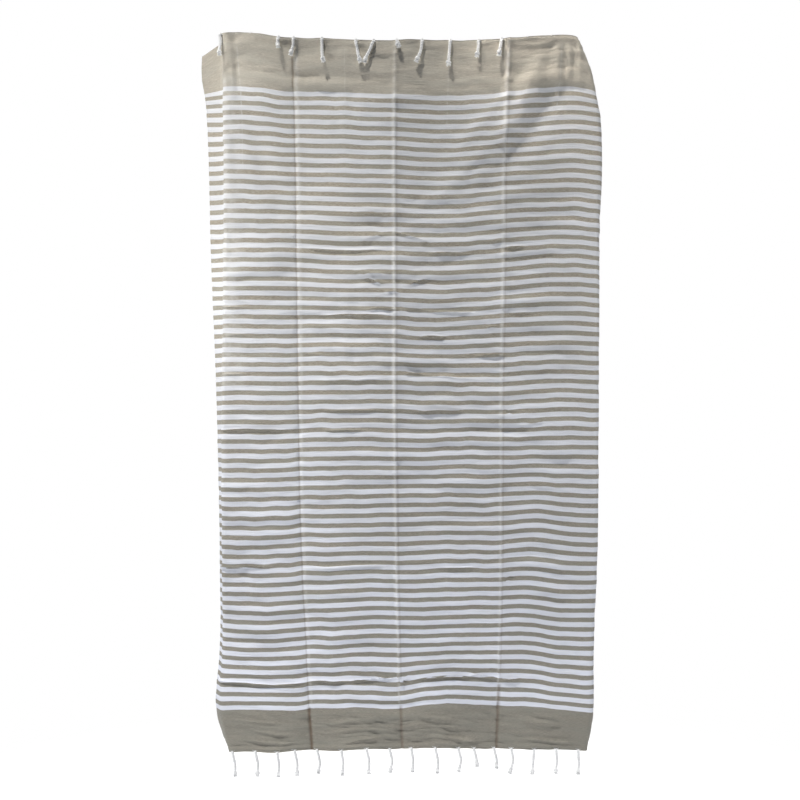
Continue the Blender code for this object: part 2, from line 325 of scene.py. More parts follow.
@dataclass
class Drape:
    """The main shape in which the cloth hangs: its folds, its sag and its curled margins.

    At each of the levels, the middle crease lies at crease_x and crease_y and faces crease_turn
    degrees, and small puckers take up the share `puckered` of the width, but only outer_share of
    that past outer_panels. The values of a rise belong to the places rise_across.
    """

    weave: Weave = WEAVE
    levels: tuple = (0.0, 0.05, 0.15, 0.50, 0.85, 1.20, 1.42, 1.56, WEAVE.length)
    folds: tuple = FOLDS
    crease_x: tuple = (-.0093, -.0100, -.0115, -.0115, -.0110, -.0070, -.0025, .0010, .0045)
    crease_y: tuple = (.000, -.002, -.004, -.010, -.012, -.010, -.006, -.003, .000)
    crease_turn: tuple = (-2, -2, -2, -2, -2, -1, -1, 0, 0)
    puckered: tuple = (.000, .000, .015, .035, .055, .070, .095, .120, .130)
    outer_share: float = 0.4
    outer_panels: float = 0.26
    outer_fade: float = 0.05
    rise_across: tuple = (
        -.505, -.42, -.33, -.27, -.235, -.18, -.12, 0.0, .06, .13, .262, .34, .42, .520
    )
    rises: tuple = RISES
    samples: int = 1021
    end_row: float = 0.004
    sections: dict = field(default_factory=dict)

    def fold_at(self, fold: Fold, down: float) -> float:
        """Where a fold lies across the cloth at one level."""
        return float(through(self.levels, fold.across, down))

    def section(self, down: float) -> tuple[Array, Array, Array, Array]:
        """The cloth's level cross-section.

        Args:
            down: The level, within the cloth.

        Returns:
            Its samples across, their x, their y and their heading.
        """
        if down in self.sections:
            return self.sections[down]
        across = np.linspace(self.weave.left_edge, self.weave.right_edge, self.samples)
        middle = int(np.argmin(np.abs(across)))
        heading = np.zeros(self.samples)
        for fold in self.folds:
            turn = math.radians(float(through(self.levels, fold.turn, down)))
            heading += turn * ease((across - self.fold_at(fold, down)) / fold.half_width)
        facing = math.radians(float(through(self.levels, self.crease_turn, down)))
        heading += facing - heading[middle]
        outer = ease((np.abs(across) - self.outer_panels) / self.outer_fade)
        lost = through(self.levels, self.puckered, down)
        kept = 1 - lost * (1 - (1 - self.outer_share) * outer)
        step = across[1] - across[0]
        x = running_sum(np.cos(heading) * kept, step)
        y = running_sum(np.sin(heading), step)
        x += through(self.levels, self.crease_x, down) - x[middle]
        y += through(self.levels, self.crease_y, down) - y[middle]
        self.sections[down] = (across, x, y, heading)
        return self.sections[down]

    def level_row(self, down: float, across: Array) -> tuple[Array, Array, Array]:
        """Points along one weft thread of the cloth.

        Args:
            down: The thread's level, within the cloth.
            across: Places along it.

        Returns:
            The points, the way that the cloth faces there, and the way along the thread.
        """
        samples, x, y, heading = self.section(down)
        turn = np.interp(across, samples, heading)
        rows = np.array([rise.values for rise in self.rises], float) / 1000
        row = through([rise.down for rise in self.rises], rows, down)
        z = through(self.rise_across, row, across) - down
        flat = np.zeros(len(across))
        points = np.stack([np.interp(across, samples, x), np.interp(across, samples, y), z], 1)
        out = np.stack([np.sin(turn), -np.cos(turn), flat], 1)
        along = np.stack([np.cos(turn), np.sin(turn), flat], 1)
        return points, out, along

    def row(self, down: float, across: Array) -> tuple[Array, Array, Array]:
        """As level_row, and past either end straight on along the warp.

        Args:
            down: The level, which may lie past either end of the cloth.
            across: Places across it.

        Returns:
            The points, the way that the cloth faces there, and the way along the thread.
        """
        edge = min(max(down, 0.0), self.weave.length)
        points, out, along = self.level_row(edge, across)
        if edge != down:
            inner = self.level_row(abs(edge - self.end_row), across)[0]
            points = points + (points - inner) * (abs(down - edge) / self.end_row)
        return points, out, along


# ---------------------------------------------------------------------------------------------
# Creases, wrinkles and other fine relief
# ---------------------------------------------------------------------------------------------


class Form(Enum):
    """How a crease rises and falls across its own line."""

    SOFT = "a rounded ridge or trough"
    SHARP = "a ridge or trough with a pressed edge"
    TUCK = "a slow rise that ends in a steep underside"

    def profile(self, u: Array) -> Array:
        """The share of the crease's height at a place across it.

        Args:
            u: The place, from -1 before the crease to 1 after it.

        Returns:
            The share, 0 at both ends.
        """
        if self is Form.SOFT:
            return (1 - u**2) ** 2
        if self is Form.SHARP:
            return (1 - np.abs(u)) ** 2
        crest = 0.5
        up = np.clip((u + 1) / (crest + 1), 0, 1)
        fall = np.clip((1 - u) / (1 - crest), 0, 1)
        share = np.where(u < crest, up, fall)
        return share**2 * (3 - 2 * share)


class Crease(NamedTuple):
    """A crease or wrinkle between two places on the cloth, (across, down) each."""

    form: Form
    fade: float
    name: str
    start: Place
    end: Place
    half_width: float
    height: float
    bow: float = 0.0


def creases(form: Form, rows: Sequence[tuple], fade: float = 0.3) -> tuple[Crease, ...]:
    """Makes creases of one form and fade. A row holds the other fields of one."""
    return tuple(Crease(form, fade, *row) for row in rows)


# The broad drags and hollows that the solid also has.
BROAD = creases(Form.SOFT, fade=.25, rows=(
    ("right drag upper", (.385, .030), (.235, .260), .055, .010),
    ("right drag lower", (.290, .190), (.080, .400), .050, .008),
    ("right drag hollow", (.420, .080), (.190, .400), .050, -.006),
    ("left drag", (-.400, .040), (-.300, .380), .040, -.005),
))

# The folds in which the towel was packed, pressed down its length.
PRESSED = creases(Form.SHARP, fade=.02, rows=(
    ("left crease", (-.247, -.05), (-.247, 1.70), .008, -.0011),
    ("middle crease", (.000, -.05), (.000, 1.50), .012, .0032),
    ("right crease", (.262, -.05), (.262, 1.52), .011, .0028),
)) + creases(Form.SOFT, fade=.02, rows=(
    ("left crease lip", (-.236, -.05), (-.236, 1.70), .010, .0012),
)) + creases(Form.SHARP, fade=.1, rows=(
    ("middle crease foot", (.000, 1.49), (.000, 1.70), .008, -.0018),
    ("right crease foot", (.262, 1.50), (.262, 1.70), .008, -.0018),
)) + creases(Form.SHARP, rows=(
    ("left panel half", (-.376, .020), (-.383, .300), .005, .0008),
    ("left middle half", (-.119, -.02), (-.121, .300), .005, .0006),
    ("right middle half", (.122, -.02), (.127, .320), .005, .0006),
    ("right panel half", (.384, .000), (.394, .260), .005, .0008),
))

# Where the corners are held, the cloth runs in pleats from the hold.
HELD = creases(Form.SOFT, rows=(
    ("left hold knuckle", (-.410, -.030), (-.388, .070), .024, .0070),
    ("left hold bulge", (-.384, .020), (-.330, .018), .018, .0040),
    ("left hold loop", (-.330, .036), (-.378, .060), .014, -.0022, .008),
    ("left hold strain one", (-.372, .012), (-.300, .008), .008, .0016, -.003),
    ("left hold strain two", (-.350, .030), (-.270, .050), .012, .0014, .006),
    ("left hold drag", (-.360, .056), (-.250, .120), .018, .0018, .010),
    ("right hold shade", (.270, .008), (.330, .008), .009, -.0026),
    ("right hold knob", (.334, .018), (.364, .012), .010, .0050),
    ("right hold wedge", (.352, .012), (.349, .165), .017, -.0048),
    ("right hold ridge left", (.344, .020), (.282, .170), .018, .0046),
    ("right hold ridge right", (.374, .004), (.382, .180), .013, .0040),
    ("right hold trough one", (.390, .004), (.396, .130), .007, -.0018),
    ("right hold pleat", (.401, .000), (.408, .140), .007, .0020),
    ("right hold trough two", (.4125, .004), (.420, .120), .007, -.0018),
    ("right hold last pleat", (.424, -.004), (.434, .120), .008, .0024),
    ("right hold drag", (.330, .050), (.240, .150), .018, .0036, -.006),
    ("right lit band", (.262, .130), (.120, .290), .034, .0060),
    ("right shadow band", (.275, .200), (.080, .410), .028, -.0050, -.010),
)) + creases(Form.SOFT, fade=.6, rows=(
    ("left hold trough", (-.4005, .036), (-.404, .150), .007, -.0016),
    ("left hold pleat", (-.3915, .030), (-.395, .170), .007, .0018),
    ("left hold trough two", (-.3825, .034), (-.387, .170), .007, -.0016),
)) + creases(Form.TUCK, rows=(
    ("right hold lip", (.292, .012), (.350, .018), .009, .0036),
))

# The folds across, in which the towel was packed, and the small wrinkles that lie near them.
CROSSING = creases(Form.TUCK, rows=(
    ("chest arc left", (-.092, .466), (-.012, .440), .0044, .0038, -.003),
    ("chest arc right", (-.014, .439), (.094, .466), .0044, .0038, -.004),
    ("collar patch", (.022, .352), (.060, .354), .0052, .0034),
    ("collar line", (-.100, .395), (-.020, .400), .0050, .0023),
    ("collar line right", (.020, .402), (.110, .392), .0050, .0023),
    ("breast slant", (.024, .424), (.100, .410), .0050, .0023),
    ("belly vee left", (-.072, .543), (-.024, .562), .0052, .0049, .002),
    ("belly vee foot", (-.030, .576), (.012, .578), .0052, .0045),
    ("belly vee small", (-.060, .586), (-.010, .592), .0050, .0023),
    ("chest tuck", (.078, .483), (.188, .488), .0059, .0058),
    ("chest tuck side", (.262, .480), (.312, .483), .0052, .0049),
    ("chest long", (-.250, .478), (.004, .475), .0081, .0051, .003),
    ("chest knot one", (-.110, .526), (-.010, .534), .0052, .0039, .003),
    ("chest knot two", (-.070, .549), (-.020, .555), .0050, .0037),
    ("waist rise", (-.205, .637), (.002, .631), .0059, .0058),
    ("waist rise short", (-.075, .621), (.012, .618), .0052, .0055),
    ("waist tuck", (.014, .618), (.078, .618), .0052, .0058),
    ("waist line", (.068, .618), (.212, .629), .0052, .0037),
    ("waist side", (-.470, .616), (-.355, .619), .0052, .0031),
    ("waist side right", (.285, .633), (.330, .635), .0052, .0028),
    ("belly tuck right", (.218, .664), (.268, .660), .0052, .0051),
    ("belly tuck middle", (.055, .681), (.132, .682), .0052, .0051, -.002),
    ("belly side", (-.430, .682), (-.370, .680), .0050, .0028),
    ("belly line", (-.240, .722), (-.158, .732), .0050, .0023),
    ("belly crease right", (.195, .728), (.276, .728), .0052, .0055),
    ("lap tuck", (.014, .772), (.080, .771), .0052, .0056),
    ("lap line", (.070, .772), (.212, .780), .0050, .0028),
    ("lap side", (-.450, .772), (-.358, .770), .0050, .0028),
    ("lap long", (-.238, .786), (.004, .782), .0074, .0037, .002),
    ("thigh tuck", (.044, .856), (.182, .858), .0052, .0058),
    ("thigh line", (-.225, .855), (.002, .857), .0052, .0031),
    ("fold one side", (-.475, .900), (-.255, .898), .0052, .0055, -.002),
    ("fold one middle", (-.184, .901), (-.070, .902), .0052, .0037),
    ("fold two side", (-.480, 1.054), (-.378, 1.050), .0052, .0028),
    ("fold three side", (-.490, 1.210), (-.318, 1.206), .0052, .0058, .002),
    ("fold three middle", (-.250, 1.216), (.000, 1.210), .0081, .0044, .002),
    ("fold three right", (.100, 1.222), (.212, 1.222), .0074, .0058),
    ("near foot line", (.020, 1.300), (.200, 1.310), .0052, .0020),
    ("hip fold far left", (-.500, 1.478), (-.398, 1.484), .008, .0060),
    ("hip fold left", (-.430, 1.481), (-.312, 1.490), .008, .0066),
    ("hip fold left end", (-.342, 1.489), (-.246, 1.482), .006, .0044),
    ("hip fold middle left", (-.250, 1.483), (-.125, 1.486), .006, .0056),
    ("hip fold middle", (-.150, 1.489), (-.002, 1.474), .006, .0068),
    ("hip fold middle right", (.030, 1.4825), (.210, 1.4835), .006, .0066),
    ("hip fold right", (.180, 1.476), (.270, 1.486), .006, .0066),
    ("hip fold far right", (.266, 1.492), (.320, 1.485), .006, .0058),
    ("hip line upper left", (-.480, 1.462), (-.300, 1.466), .007, .0018),
    ("hip line lower", (.060, 1.520), (.260, 1.526), .007, .0018),
    ("foot band line one", (-.420, 1.578), (-.300, 1.586), .006, .0029),
    ("foot band line two", (-.400, 1.602), (-.290, 1.618), .006, .0035),
    ("foot band line three", (-.430, 1.628), (-.260, 1.640), .006, .0044),
    ("foot band line four", (-.210, 1.590), (-.060, 1.580), .006, .0023),
    ("foot band line five", (-.200, 1.612), (-.040, 1.604), .006, .0026),
    ("foot band line six", (-.180, 1.645), (-.020, 1.620), .006, .0038),
    ("foot band line seven", (.030, 1.575), (.150, 1.588), .006, .0029),
    ("foot band line eight", (.040, 1.600), (.190, 1.612), .006, .0026),
    ("foot band line nine", (.050, 1.628), (.240, 1.640), .006, .0038),
    ("foot band line ten", (.300, 1.585), (.440, 1.590), .006, .0021),
    ("foot band line eleven", (.320, 1.632), (.480, 1.640), .006, .0044),
)) + creases(Form.SHARP, rows=(
    ("collar slant one", (-.045, .374), (-.070, .414), .0050, .0031),
    ("collar slant two", (-.020, .372), (-.056, .420), .0050, .0031),
    ("collar slant three", (.052, .346), (.020, .382), .0050, .0029),
    ("belly vee left two", (-.100, .528), (-.052, .552), .0050, .0029),
    ("chest slant one", (.008, .573), (.073, .543), .0050, .0044),
    ("chest slant two", (.034, .563), (.090, .538), .0050, .0039),
    ("thigh pinch", (.268, .850), (.290, .872), .0050, -.0051),
    ("fold one slant", (.288, .900), (.375, .885), .0050, .0039, -.004),
    ("fold two slant", (.322, 1.042), (.402, 1.038), .0050, .0031, -.003),
    ("fold three pinch", (.266, 1.256), (.294, 1.245), .0050, -.0044),
    ("pinch at the crease", (-.010, 1.462), (.006, 1.500), .0057, -.0060),
    ("pinch beside it", (.002, 1.498), (.028, 1.468), .0049, .0060),
)) + creases(Form.SOFT, fade=.05, rows=(
    ("foot edge roll", (-.480, 1.652), (.500, 1.652), .007, .0030),
))

WAVES = (
    Waves("slow cockling", .260, .100, .0015, -.1, 1.8, 3),
    Waves("cross wrinkles", .120, .034, .00045, -.1, 1.8, 7),
    Waves("fine crumple", .042, .026, .00036, -.1, 1.8, 11),
    Waves("warp ripple", .045, .400, .00040, -.1, 1.8, 13),
    Waves("head band wrinkles", .100, .022, .00070, -.1, .120, 19),
    Waves("foot band wrinkles", .080, .017, .00075, 1.556, 1.8, 23),
)

DRIFTS = (
    Waves("weft drift", .300, .500, .0008, -.1, 1.8, 31),
    Waves("weft waver", .110, .160, .0004, -.1, 1.8, 37),
)


class Pucker(NamedTuple):
    """Small puckers strung along a crease that runs down the cloth."""

    name: str
    across: float
    reach: float
    waves: Waves

    def at(self, across: Array, down: Array) -> Array:
        """How high the puckers stand at places on the cloth, in metres."""
        near = np.exp(-(((across - self.across) / self.reach) ** 2))
        return near * self.waves.at(across, down)


PUCKERS = (
    Pucker("left", -.247, .016, Waves("left pucker", .060, .030, .00050, .10, 1.8, 53)),
    Pucker("middle", .000, .022, Waves("middle pucker", .060, .026, .00045, .12, 1.8, 59)),
    Pucker("right", .262, .018, Waves("right pucker", .060, .028, .00055, .10, 1.8, 61)),
    Pucker("left rim", -.452, .030, Waves("rim pucker", .050, .040, .00070, .20, 1.8, 67)),
)


@dataclass
class Relief:
    """The fine relief of the cloth, measured off its main shape.

    A crease draws the cloth in to its line by draw_in times its height squared over its half
    width. The small waves and puckers lose calm_share of their height over calm_over from
    calm_from outwards, where the margins curl.
    """

    creases: tuple = BROAD + PRESSED + HELD + CROSSING
    waves: tuple = WAVES
    puckers: tuple = PUCKERS
    drifts: tuple = DRIFTS
    draw_in: float = 2.2
    calm_from: float = 0.405
    calm_over: float = 0.060
    calm_share: float = 0.75

    def add_crease(self, crease: Crease, across: Array, down: Array, moved: Array) -> None:
        """Adds one crease to the moves.

        Args:
            crease: The crease.
            across: Places across the cloth.
            down: Places down the cloth.
            moved: The moves so far: out, along the weft and down the warp.
        """
        run = np.subtract(crease.end, crease.start)
        length = math.hypot(*run)
        aim = run / length
        from_start_across = across - crease.start[0]
        from_start_down = down - crease.start[1]
        share = (from_start_across * aim[0] + from_start_down * aim[1]) / length
        aside = from_start_down * aim[0] - from_start_across * aim[1]
        aside = aside - crease.bow * 4 * share * (1 - share)
        u = aside / crease.half_width
        near = (share > 0) & (share < 1) & (np.abs(u) < 1)
        if not near.any():
            return
        u, share = u[near], share[near]
        ends = ease(2 * np.minimum(share, 1 - share) / crease.fade - 1)
        moved[0][near] += crease.height * ends * crease.form.profile(u)
        taken_up = self.draw_in * crease.height**2 / crease.half_width
        draw = -taken_up * ends * u * (1 - u**2) ** 2
        moved[1][near] += -aim[1] * draw
        moved[2][near] += aim[0] * draw

    def at(self, across: Array, down: Array) -> Array:
        """How the relief moves places on the cloth.

        Args:
            across: Places across the cloth.
            down: Places down the cloth.

        Returns:
            Three rows: the move out to the front, along the weft and down the warp.
        """
        down = np.clip(down, 0.0, WEAVE.length)
        across, down = np.broadcast_arrays(np.asarray(across, float), down)
        moved = np.zeros((3,) + across.shape)
        for crease in self.creases:
            self.add_crease(crease, across, down, moved)
        past = (np.abs(across) - self.calm_from) / self.calm_over
        calm = 1 - self.calm_share * ease(2 * past - 1)
        for waves in self.waves + self.puckers:
            moved[0] += calm * waves.at(across, down)
        for waves in self.drifts:
            moved[2] += waves.at(across, down)
        return moved


@dataclass
class HungCloth:
    """The hanging cloth: its main shape with its relief on it."""

    drape: Drape = field(default_factory=Drape)
    relief: Relief = field(default_factory=Relief)

    def row(self, down: float, across: Array, lift: float = 0.0) -> Array:
        """Points along one weft thread.

        Args:
            down: The thread's level.
            across: Places along it.
            lift: How far the points stand off the front.

        Returns:
            The points.
        """
        across = np.asarray(across, float)
        points, out, along = self.drape.row(down, across)
        moved = self.relief.at(across, np.full(len(across), float(down)))
        return (
            points
            + out * (moved[0] + lift)[:, None]
            + along * moved[1][:, None]
            - UP * moved[2][:, None]
        )

    def place(self, across: float, down: float, lift: float = 0.0) -> Array:
        """One point of the cloth, moved off its front by lift."""
        return self.row(down, np.array([across]), lift)[0]


# ---------------------------------------------------------------------------------------------
# Nodes of the materials
# ---------------------------------------------------------------------------------------------


class Graph:
    """Adds and joins the nodes of one node tree."""

    def __init__(self, tree: bpy.types.NodeTree) -> None:
        """Takes the tree that the nodes are for."""
        self.tree = tree

    def add(self, kind: str, **settings: object) -> bpy.types.Node:
        """Adds a node.

        Args:
            kind: Blender's name for the node.
            settings: Its properties.

        Returns:
            The node.
        """
        node = self.tree.nodes.new(kind)
        for name, value in settings.items():
            setattr(node, name, value)
        return node

    def feed(self, socket: bpy.types.NodeSocket, source: object) -> None:
        """Joins a socket to a source, or gives it a plain value.

        Args:
            socket: The socket.
            source: Another node's socket, or the value.
        """
        if isinstance(source, bpy.types.NodeSocket):
            self.tree.links.new(source, socket)
        else:
            socket.default_value = source

    def maths(self, operation: str, *terms: object) -> bpy.types.NodeSocket:
        """A sum, product or the like.

        Args:
            operation: Blender's name for it.
            terms: Sockets or numbers.

        Returns:
            The result's socket.
        """
        node = self.add("ShaderNodeMath", operation=operation)
        for socket, term in zip(node.inputs, terms):
            self.feed(socket, term)
        return node.outputs[0]

    def span(self, value: object, low: float, high: float, *to: float) -> bpy.types.NodeSocket:
        """Turns one span of numbers into another, with soft ends.

        Args:
            value: The number's socket.
            low: Where the first span starts.
            high: Where it ends.
            to: Where the other starts and ends, if not at 0 and 1.

        Returns:
            The result's socket.
        """
        node = self.add("ShaderNodeMapRange", interpolation_type="SMOOTHSTEP")
        for name, source in zip(("Value", "From Min", "From Max"), (value, low, high)):
            self.feed(node.inputs[name], source)
        for name, source in zip(("To Min", "To Max"), to):
            self.feed(node.inputs[name], source)
        return node.outputs["Result"]

    def blend(self, share: object, first: object, second: object) -> bpy.types.NodeSocket:
        """Mixes two colours.

        Args:
            share: How much of the second there is.
            first: The first colour.
            second: The second colour.

        Returns:
            The mixed colour's socket.
        """
        node = self.add("ShaderNodeMix", data_type="RGBA")
        self.feed(node.inputs["Factor"], share)
        colours = [socket for socket in node.inputs if socket.type == "RGBA"]
        self.feed(colours[0], first)
        self.feed(colours[1], second)
        return next(socket for socket in node.outputs if socket.type == "RGBA")

    def place(self, across: object, down: object, depth: object = 0.0) -> bpy.types.NodeSocket:
        """Joins three numbers into a place.

        Args:
            across: The first of them.
            down: The second.
            depth: The third.

        Returns:
            The place's socket.
        """
        node = self.add("ShaderNodeCombineXYZ")
        for socket, source in zip(node.inputs, (across, down, depth)):
            self.feed(socket, source)
        return node.outputs[0]

    def speckle(self, place: object, scale: float, detail: float = 2.0) -> bpy.types.NodeSocket:
        """Soft noise over a place.

        Args:
            place: The place's socket.
            scale: How many cells there are in a unit.
            detail: How many finer layers lie on it.

        Returns:
            The noise's socket, from about 0.2 to 0.8.
        """
        node = self.add("ShaderNodeTexNoise")
        self.feed(node.inputs["Vector"], place)
        self.feed(node.inputs["Scale"], scale)
        self.feed(node.inputs["Detail"], detail)
        return node.outputs[0]

    def group(self, tree: bpy.types.NodeTree, **inputs: object) -> bpy.types.Node:
        """Places a node group.

        Args:
            tree: The group.
            inputs: What feeds it, with _ for a space.

        Returns:
            The group's node.
        """
        node = self.add("ShaderNodeGroup", node_tree=tree)
        for name, source in inputs.items():
            self.feed(node.inputs[name.replace("_", " ")], source)
        return node


def new_group(name: str, inputs: Sequence[str], outputs: Sequence[str]) -> bpy.types.NodeTree:
    """Makes an empty shader node group whose first input is a place and the rest are numbers.

    Args:
        name: The group's name.
        inputs: Its inputs' names.
        outputs: Its outputs' names, all numbers.

    Returns:
        The group.
    """
    tree = bpy.data.node_groups.new(name, "ShaderNodeTree")
    for number, label in enumerate(inputs):
        kind = "NodeSocketFloat" if number else "NodeSocketVector"
        tree.interface.new_socket(label, in_out="INPUT", socket_type=kind)
    for label in outputs:
        tree.interface.new_socket(label, in_out="OUTPUT", socket_type="NodeSocketFloat")
    return tree


# The range of the noise that the masks spread to 0 to 1, and how fine each noise is.
NOISE_LOW = 0.3
NOISE_HIGH = 0.7
STREAK_DETAIL = 1.5
WEAR_DETAIL = 3.0


def streak_group() -> bpy.types.NodeTree:
    """Long uneven streaks, as thick and thin places of spun yarn lie along a thread.

    Returns:
        The group, from a place, a number of streaks a metre along and across, and a start.
    """
    tree = new_group("yarn_streaks", ("Place", "Along", "Across", "Start"), ("Streaks",))
    graph = Graph(tree)
    source = graph.add("NodeGroupInput").outputs
    split = graph.add("ShaderNodeSeparateXYZ")
    graph.feed(split.inputs[0], source["Place"])
    along = graph.maths("MULTIPLY", split.outputs[0], source["Along"])
    across = graph.maths("MULTIPLY", split.outputs[1], source["Across"])
    noise = graph.speckle(graph.place(along, across, source["Start"]), 1.0, STREAK_DETAIL)
    result = graph.span(noise, NOISE_LOW, NOISE_HIGH)
    graph.feed(graph.add("NodeGroupOutput").inputs["Streaks"], result)
    return tree


def wear_group() -> bpy.types.NodeTree:
    """Slow uneven patches, as cotton that has been handled takes them.

    Returns:
        The group, from a place, a number of patches a metre and a start.
    """
    tree = new_group("handling", ("Place", "Patches", "Start"), ("Patch",))
    graph = Graph(tree)
    source = graph.add("NodeGroupInput").outputs
    move = graph.add("ShaderNodeVectorMath", operation="ADD")
    graph.feed(move.inputs[0], source["Place"])
    graph.feed(move.inputs[1], graph.place(source["Start"], source["Start"], source["Start"]))
    scaled = graph.add("ShaderNodeVectorMath", operation="SCALE")
    graph.feed(scaled.inputs[0], move.outputs[0])
    graph.feed(scaled.inputs["Scale"], source["Patches"])
    noise = graph.speckle(scaled.outputs[0], 1.0, WEAR_DETAIL)
    result = graph.span(noise, NOISE_LOW, NOISE_HIGH)
    graph.feed(graph.add("NodeGroupOutput").inputs["Patch"], result)
    return tree


class MarkRow(NamedTuple):
    """A line painted along a fold, of shade or highlight and partly of soiling or rubbing: its place,
    its span and its strength.
    """

    across: float
    half_width: float
    top: float
    foot: float
    strength: float


# A mark fades in and out over this much of its length, to either side of its ends.
MARK_FADE = 0.006

# Painted shade in the hollows of the pressed folds and on the shaded sides of their ridges, with
# partly real brown soiling where the folds sat, strongest in the foot band.
SHADE_AND_SOIL_LINES = (
    MarkRow(-.2475, .0036, .000, 1.553, .26),
    MarkRow(-.2470, .0078, 1.548, 1.70, .70),
    MarkRow(-.2475, .0048, .000, .118, .45),
    MarkRow(.0050, .0036, .130, 1.480, .16),
    MarkRow(.0020, .0075, 1.545, 1.70, .42),
    MarkRow(.2670, .0036, .130, 1.480, .14),
    MarkRow(.2640, .0078, 1.500, 1.70, .50),
)

# Painted highlight on the ridges and lit sides of the folds and over the turned left margin, with
# partly real pale rubbing where the folds stood proud.
HIGHLIGHT_AND_RUB_LINES = (
    MarkRow(-.0020, .0080, .000, .120, .22),
    MarkRow(-.0020, .0085, .110, .900, .55),
    MarkRow(-.0015, .0060, .880, 1.540, .30),
    MarkRow(.2600, .0075, .000, .900, .40),
    MarkRow(.2605, .0060, .880, 1.540, .24),
    MarkRow(.2620, .0040, .000, .125, .40),
    MarkRow(-.2380, .0085, .000, .800, .30),
    MarkRow(-.2390, .0070, .780, 1.540, .15),
    MarkRow(-.4150, .0500, .100, .800, .30),
    MarkRow(-.1195, .0026, .020, .180, .14),
    MarkRow(.1235, .0026, .020, .190, .16),
    MarkRow(-.3765, .0034, .030, .300, .30),
    MarkRow(.3850, .0030, .020, .180, .22),
)


# What all cotton has: a faint gloss, and a roughness that swings a little about its own.
COTTON_SPECULAR = 0.25
ROUGHNESS_SWING = 0.05
ROUGHNESS_DROP = 0.03


class Streaks(NamedTuple):
    """How many yarn streaks a metre lie along and across, and where their noise starts."""

    along: float
    across: float
    start: float


class CottonGraph(Graph):
    """The nodes of one cotton material."""

    def __init__(self, name: str, streaks: bpy.types.NodeTree, wear: bpy.types.NodeTree) -> None:
        """Starts the material.

        Args:
            name: Its name.
            streaks: The group for yarn streaks.
            wear: The group for handled patches.
        """
        self.made = bpy.data.materials.new(name)
        self.made.use_nodes = True
        super().__init__(self.made.node_tree)
        self.shader = self.tree.nodes["Principled BSDF"]
        self.on_cloth = self.add("ShaderNodeUVMap", uv_map=CLOTH_MAP).outputs[0]
        self.streak_group = streaks
        self.wear_group = wear

    def streaks(self, kind: Streaks) -> bpy.types.NodeSocket:
        """Adds yarn streaks of one kind, and gives their mask."""
        numbers = {"Along": kind.along, "Across": kind.across, "Start": kind.start}
        return self.group(self.streak_group, Place=self.on_cloth, **numbers).outputs[0]

    def patches(self, count: float, start: float) -> bpy.types.NodeSocket:
        """Adds handled patches, count of them a metre."""
        node = self.group(self.wear_group, Place=self.on_cloth, Patches=count, Start=start)
        return node.outputs[0]

    def tint(self, under: object, over: Colour, mask: object, share: float) -> bpy.types.NodeSocket:
        """Lays a colour over another where a mask shows, at no more than a share of it."""
        return self.blend(self.maths("MULTIPLY", mask, share), under, over)

    def finish(
        self, uneven: object, roughness: float, sheen: float, height: object
    ) -> bpy.types.Material:
        """Joins the roughness, the gloss, the sheen and the relief.

        Args:
            uneven: The mask with which the roughness swings.
            roughness: The cotton's roughness.
            sheen: How strong its sheen is.
            height: Its relief, in metres.

        Returns:
            The material.
        """
        inputs = self.shader.inputs
        rough = self.maths("MULTIPLY_ADD", uneven, ROUGHNESS_SWING, roughness - ROUGHNESS_DROP)
        self.feed(inputs["Roughness"], rough)
        inputs["Specular IOR Level"].default_value = COTTON_SPECULAR
        inputs["Sheen Weight"].default_value = sheen
        bump = self.add("ShaderNodeBump")
        bump.inputs["Strength"].default_value = 1.0
        bump.inputs["Distance"].default_value = 1.0
        self.feed(bump.inputs["Height"], height)
        self.feed(inputs["Normal"], bump.outputs[0])
        return self.made


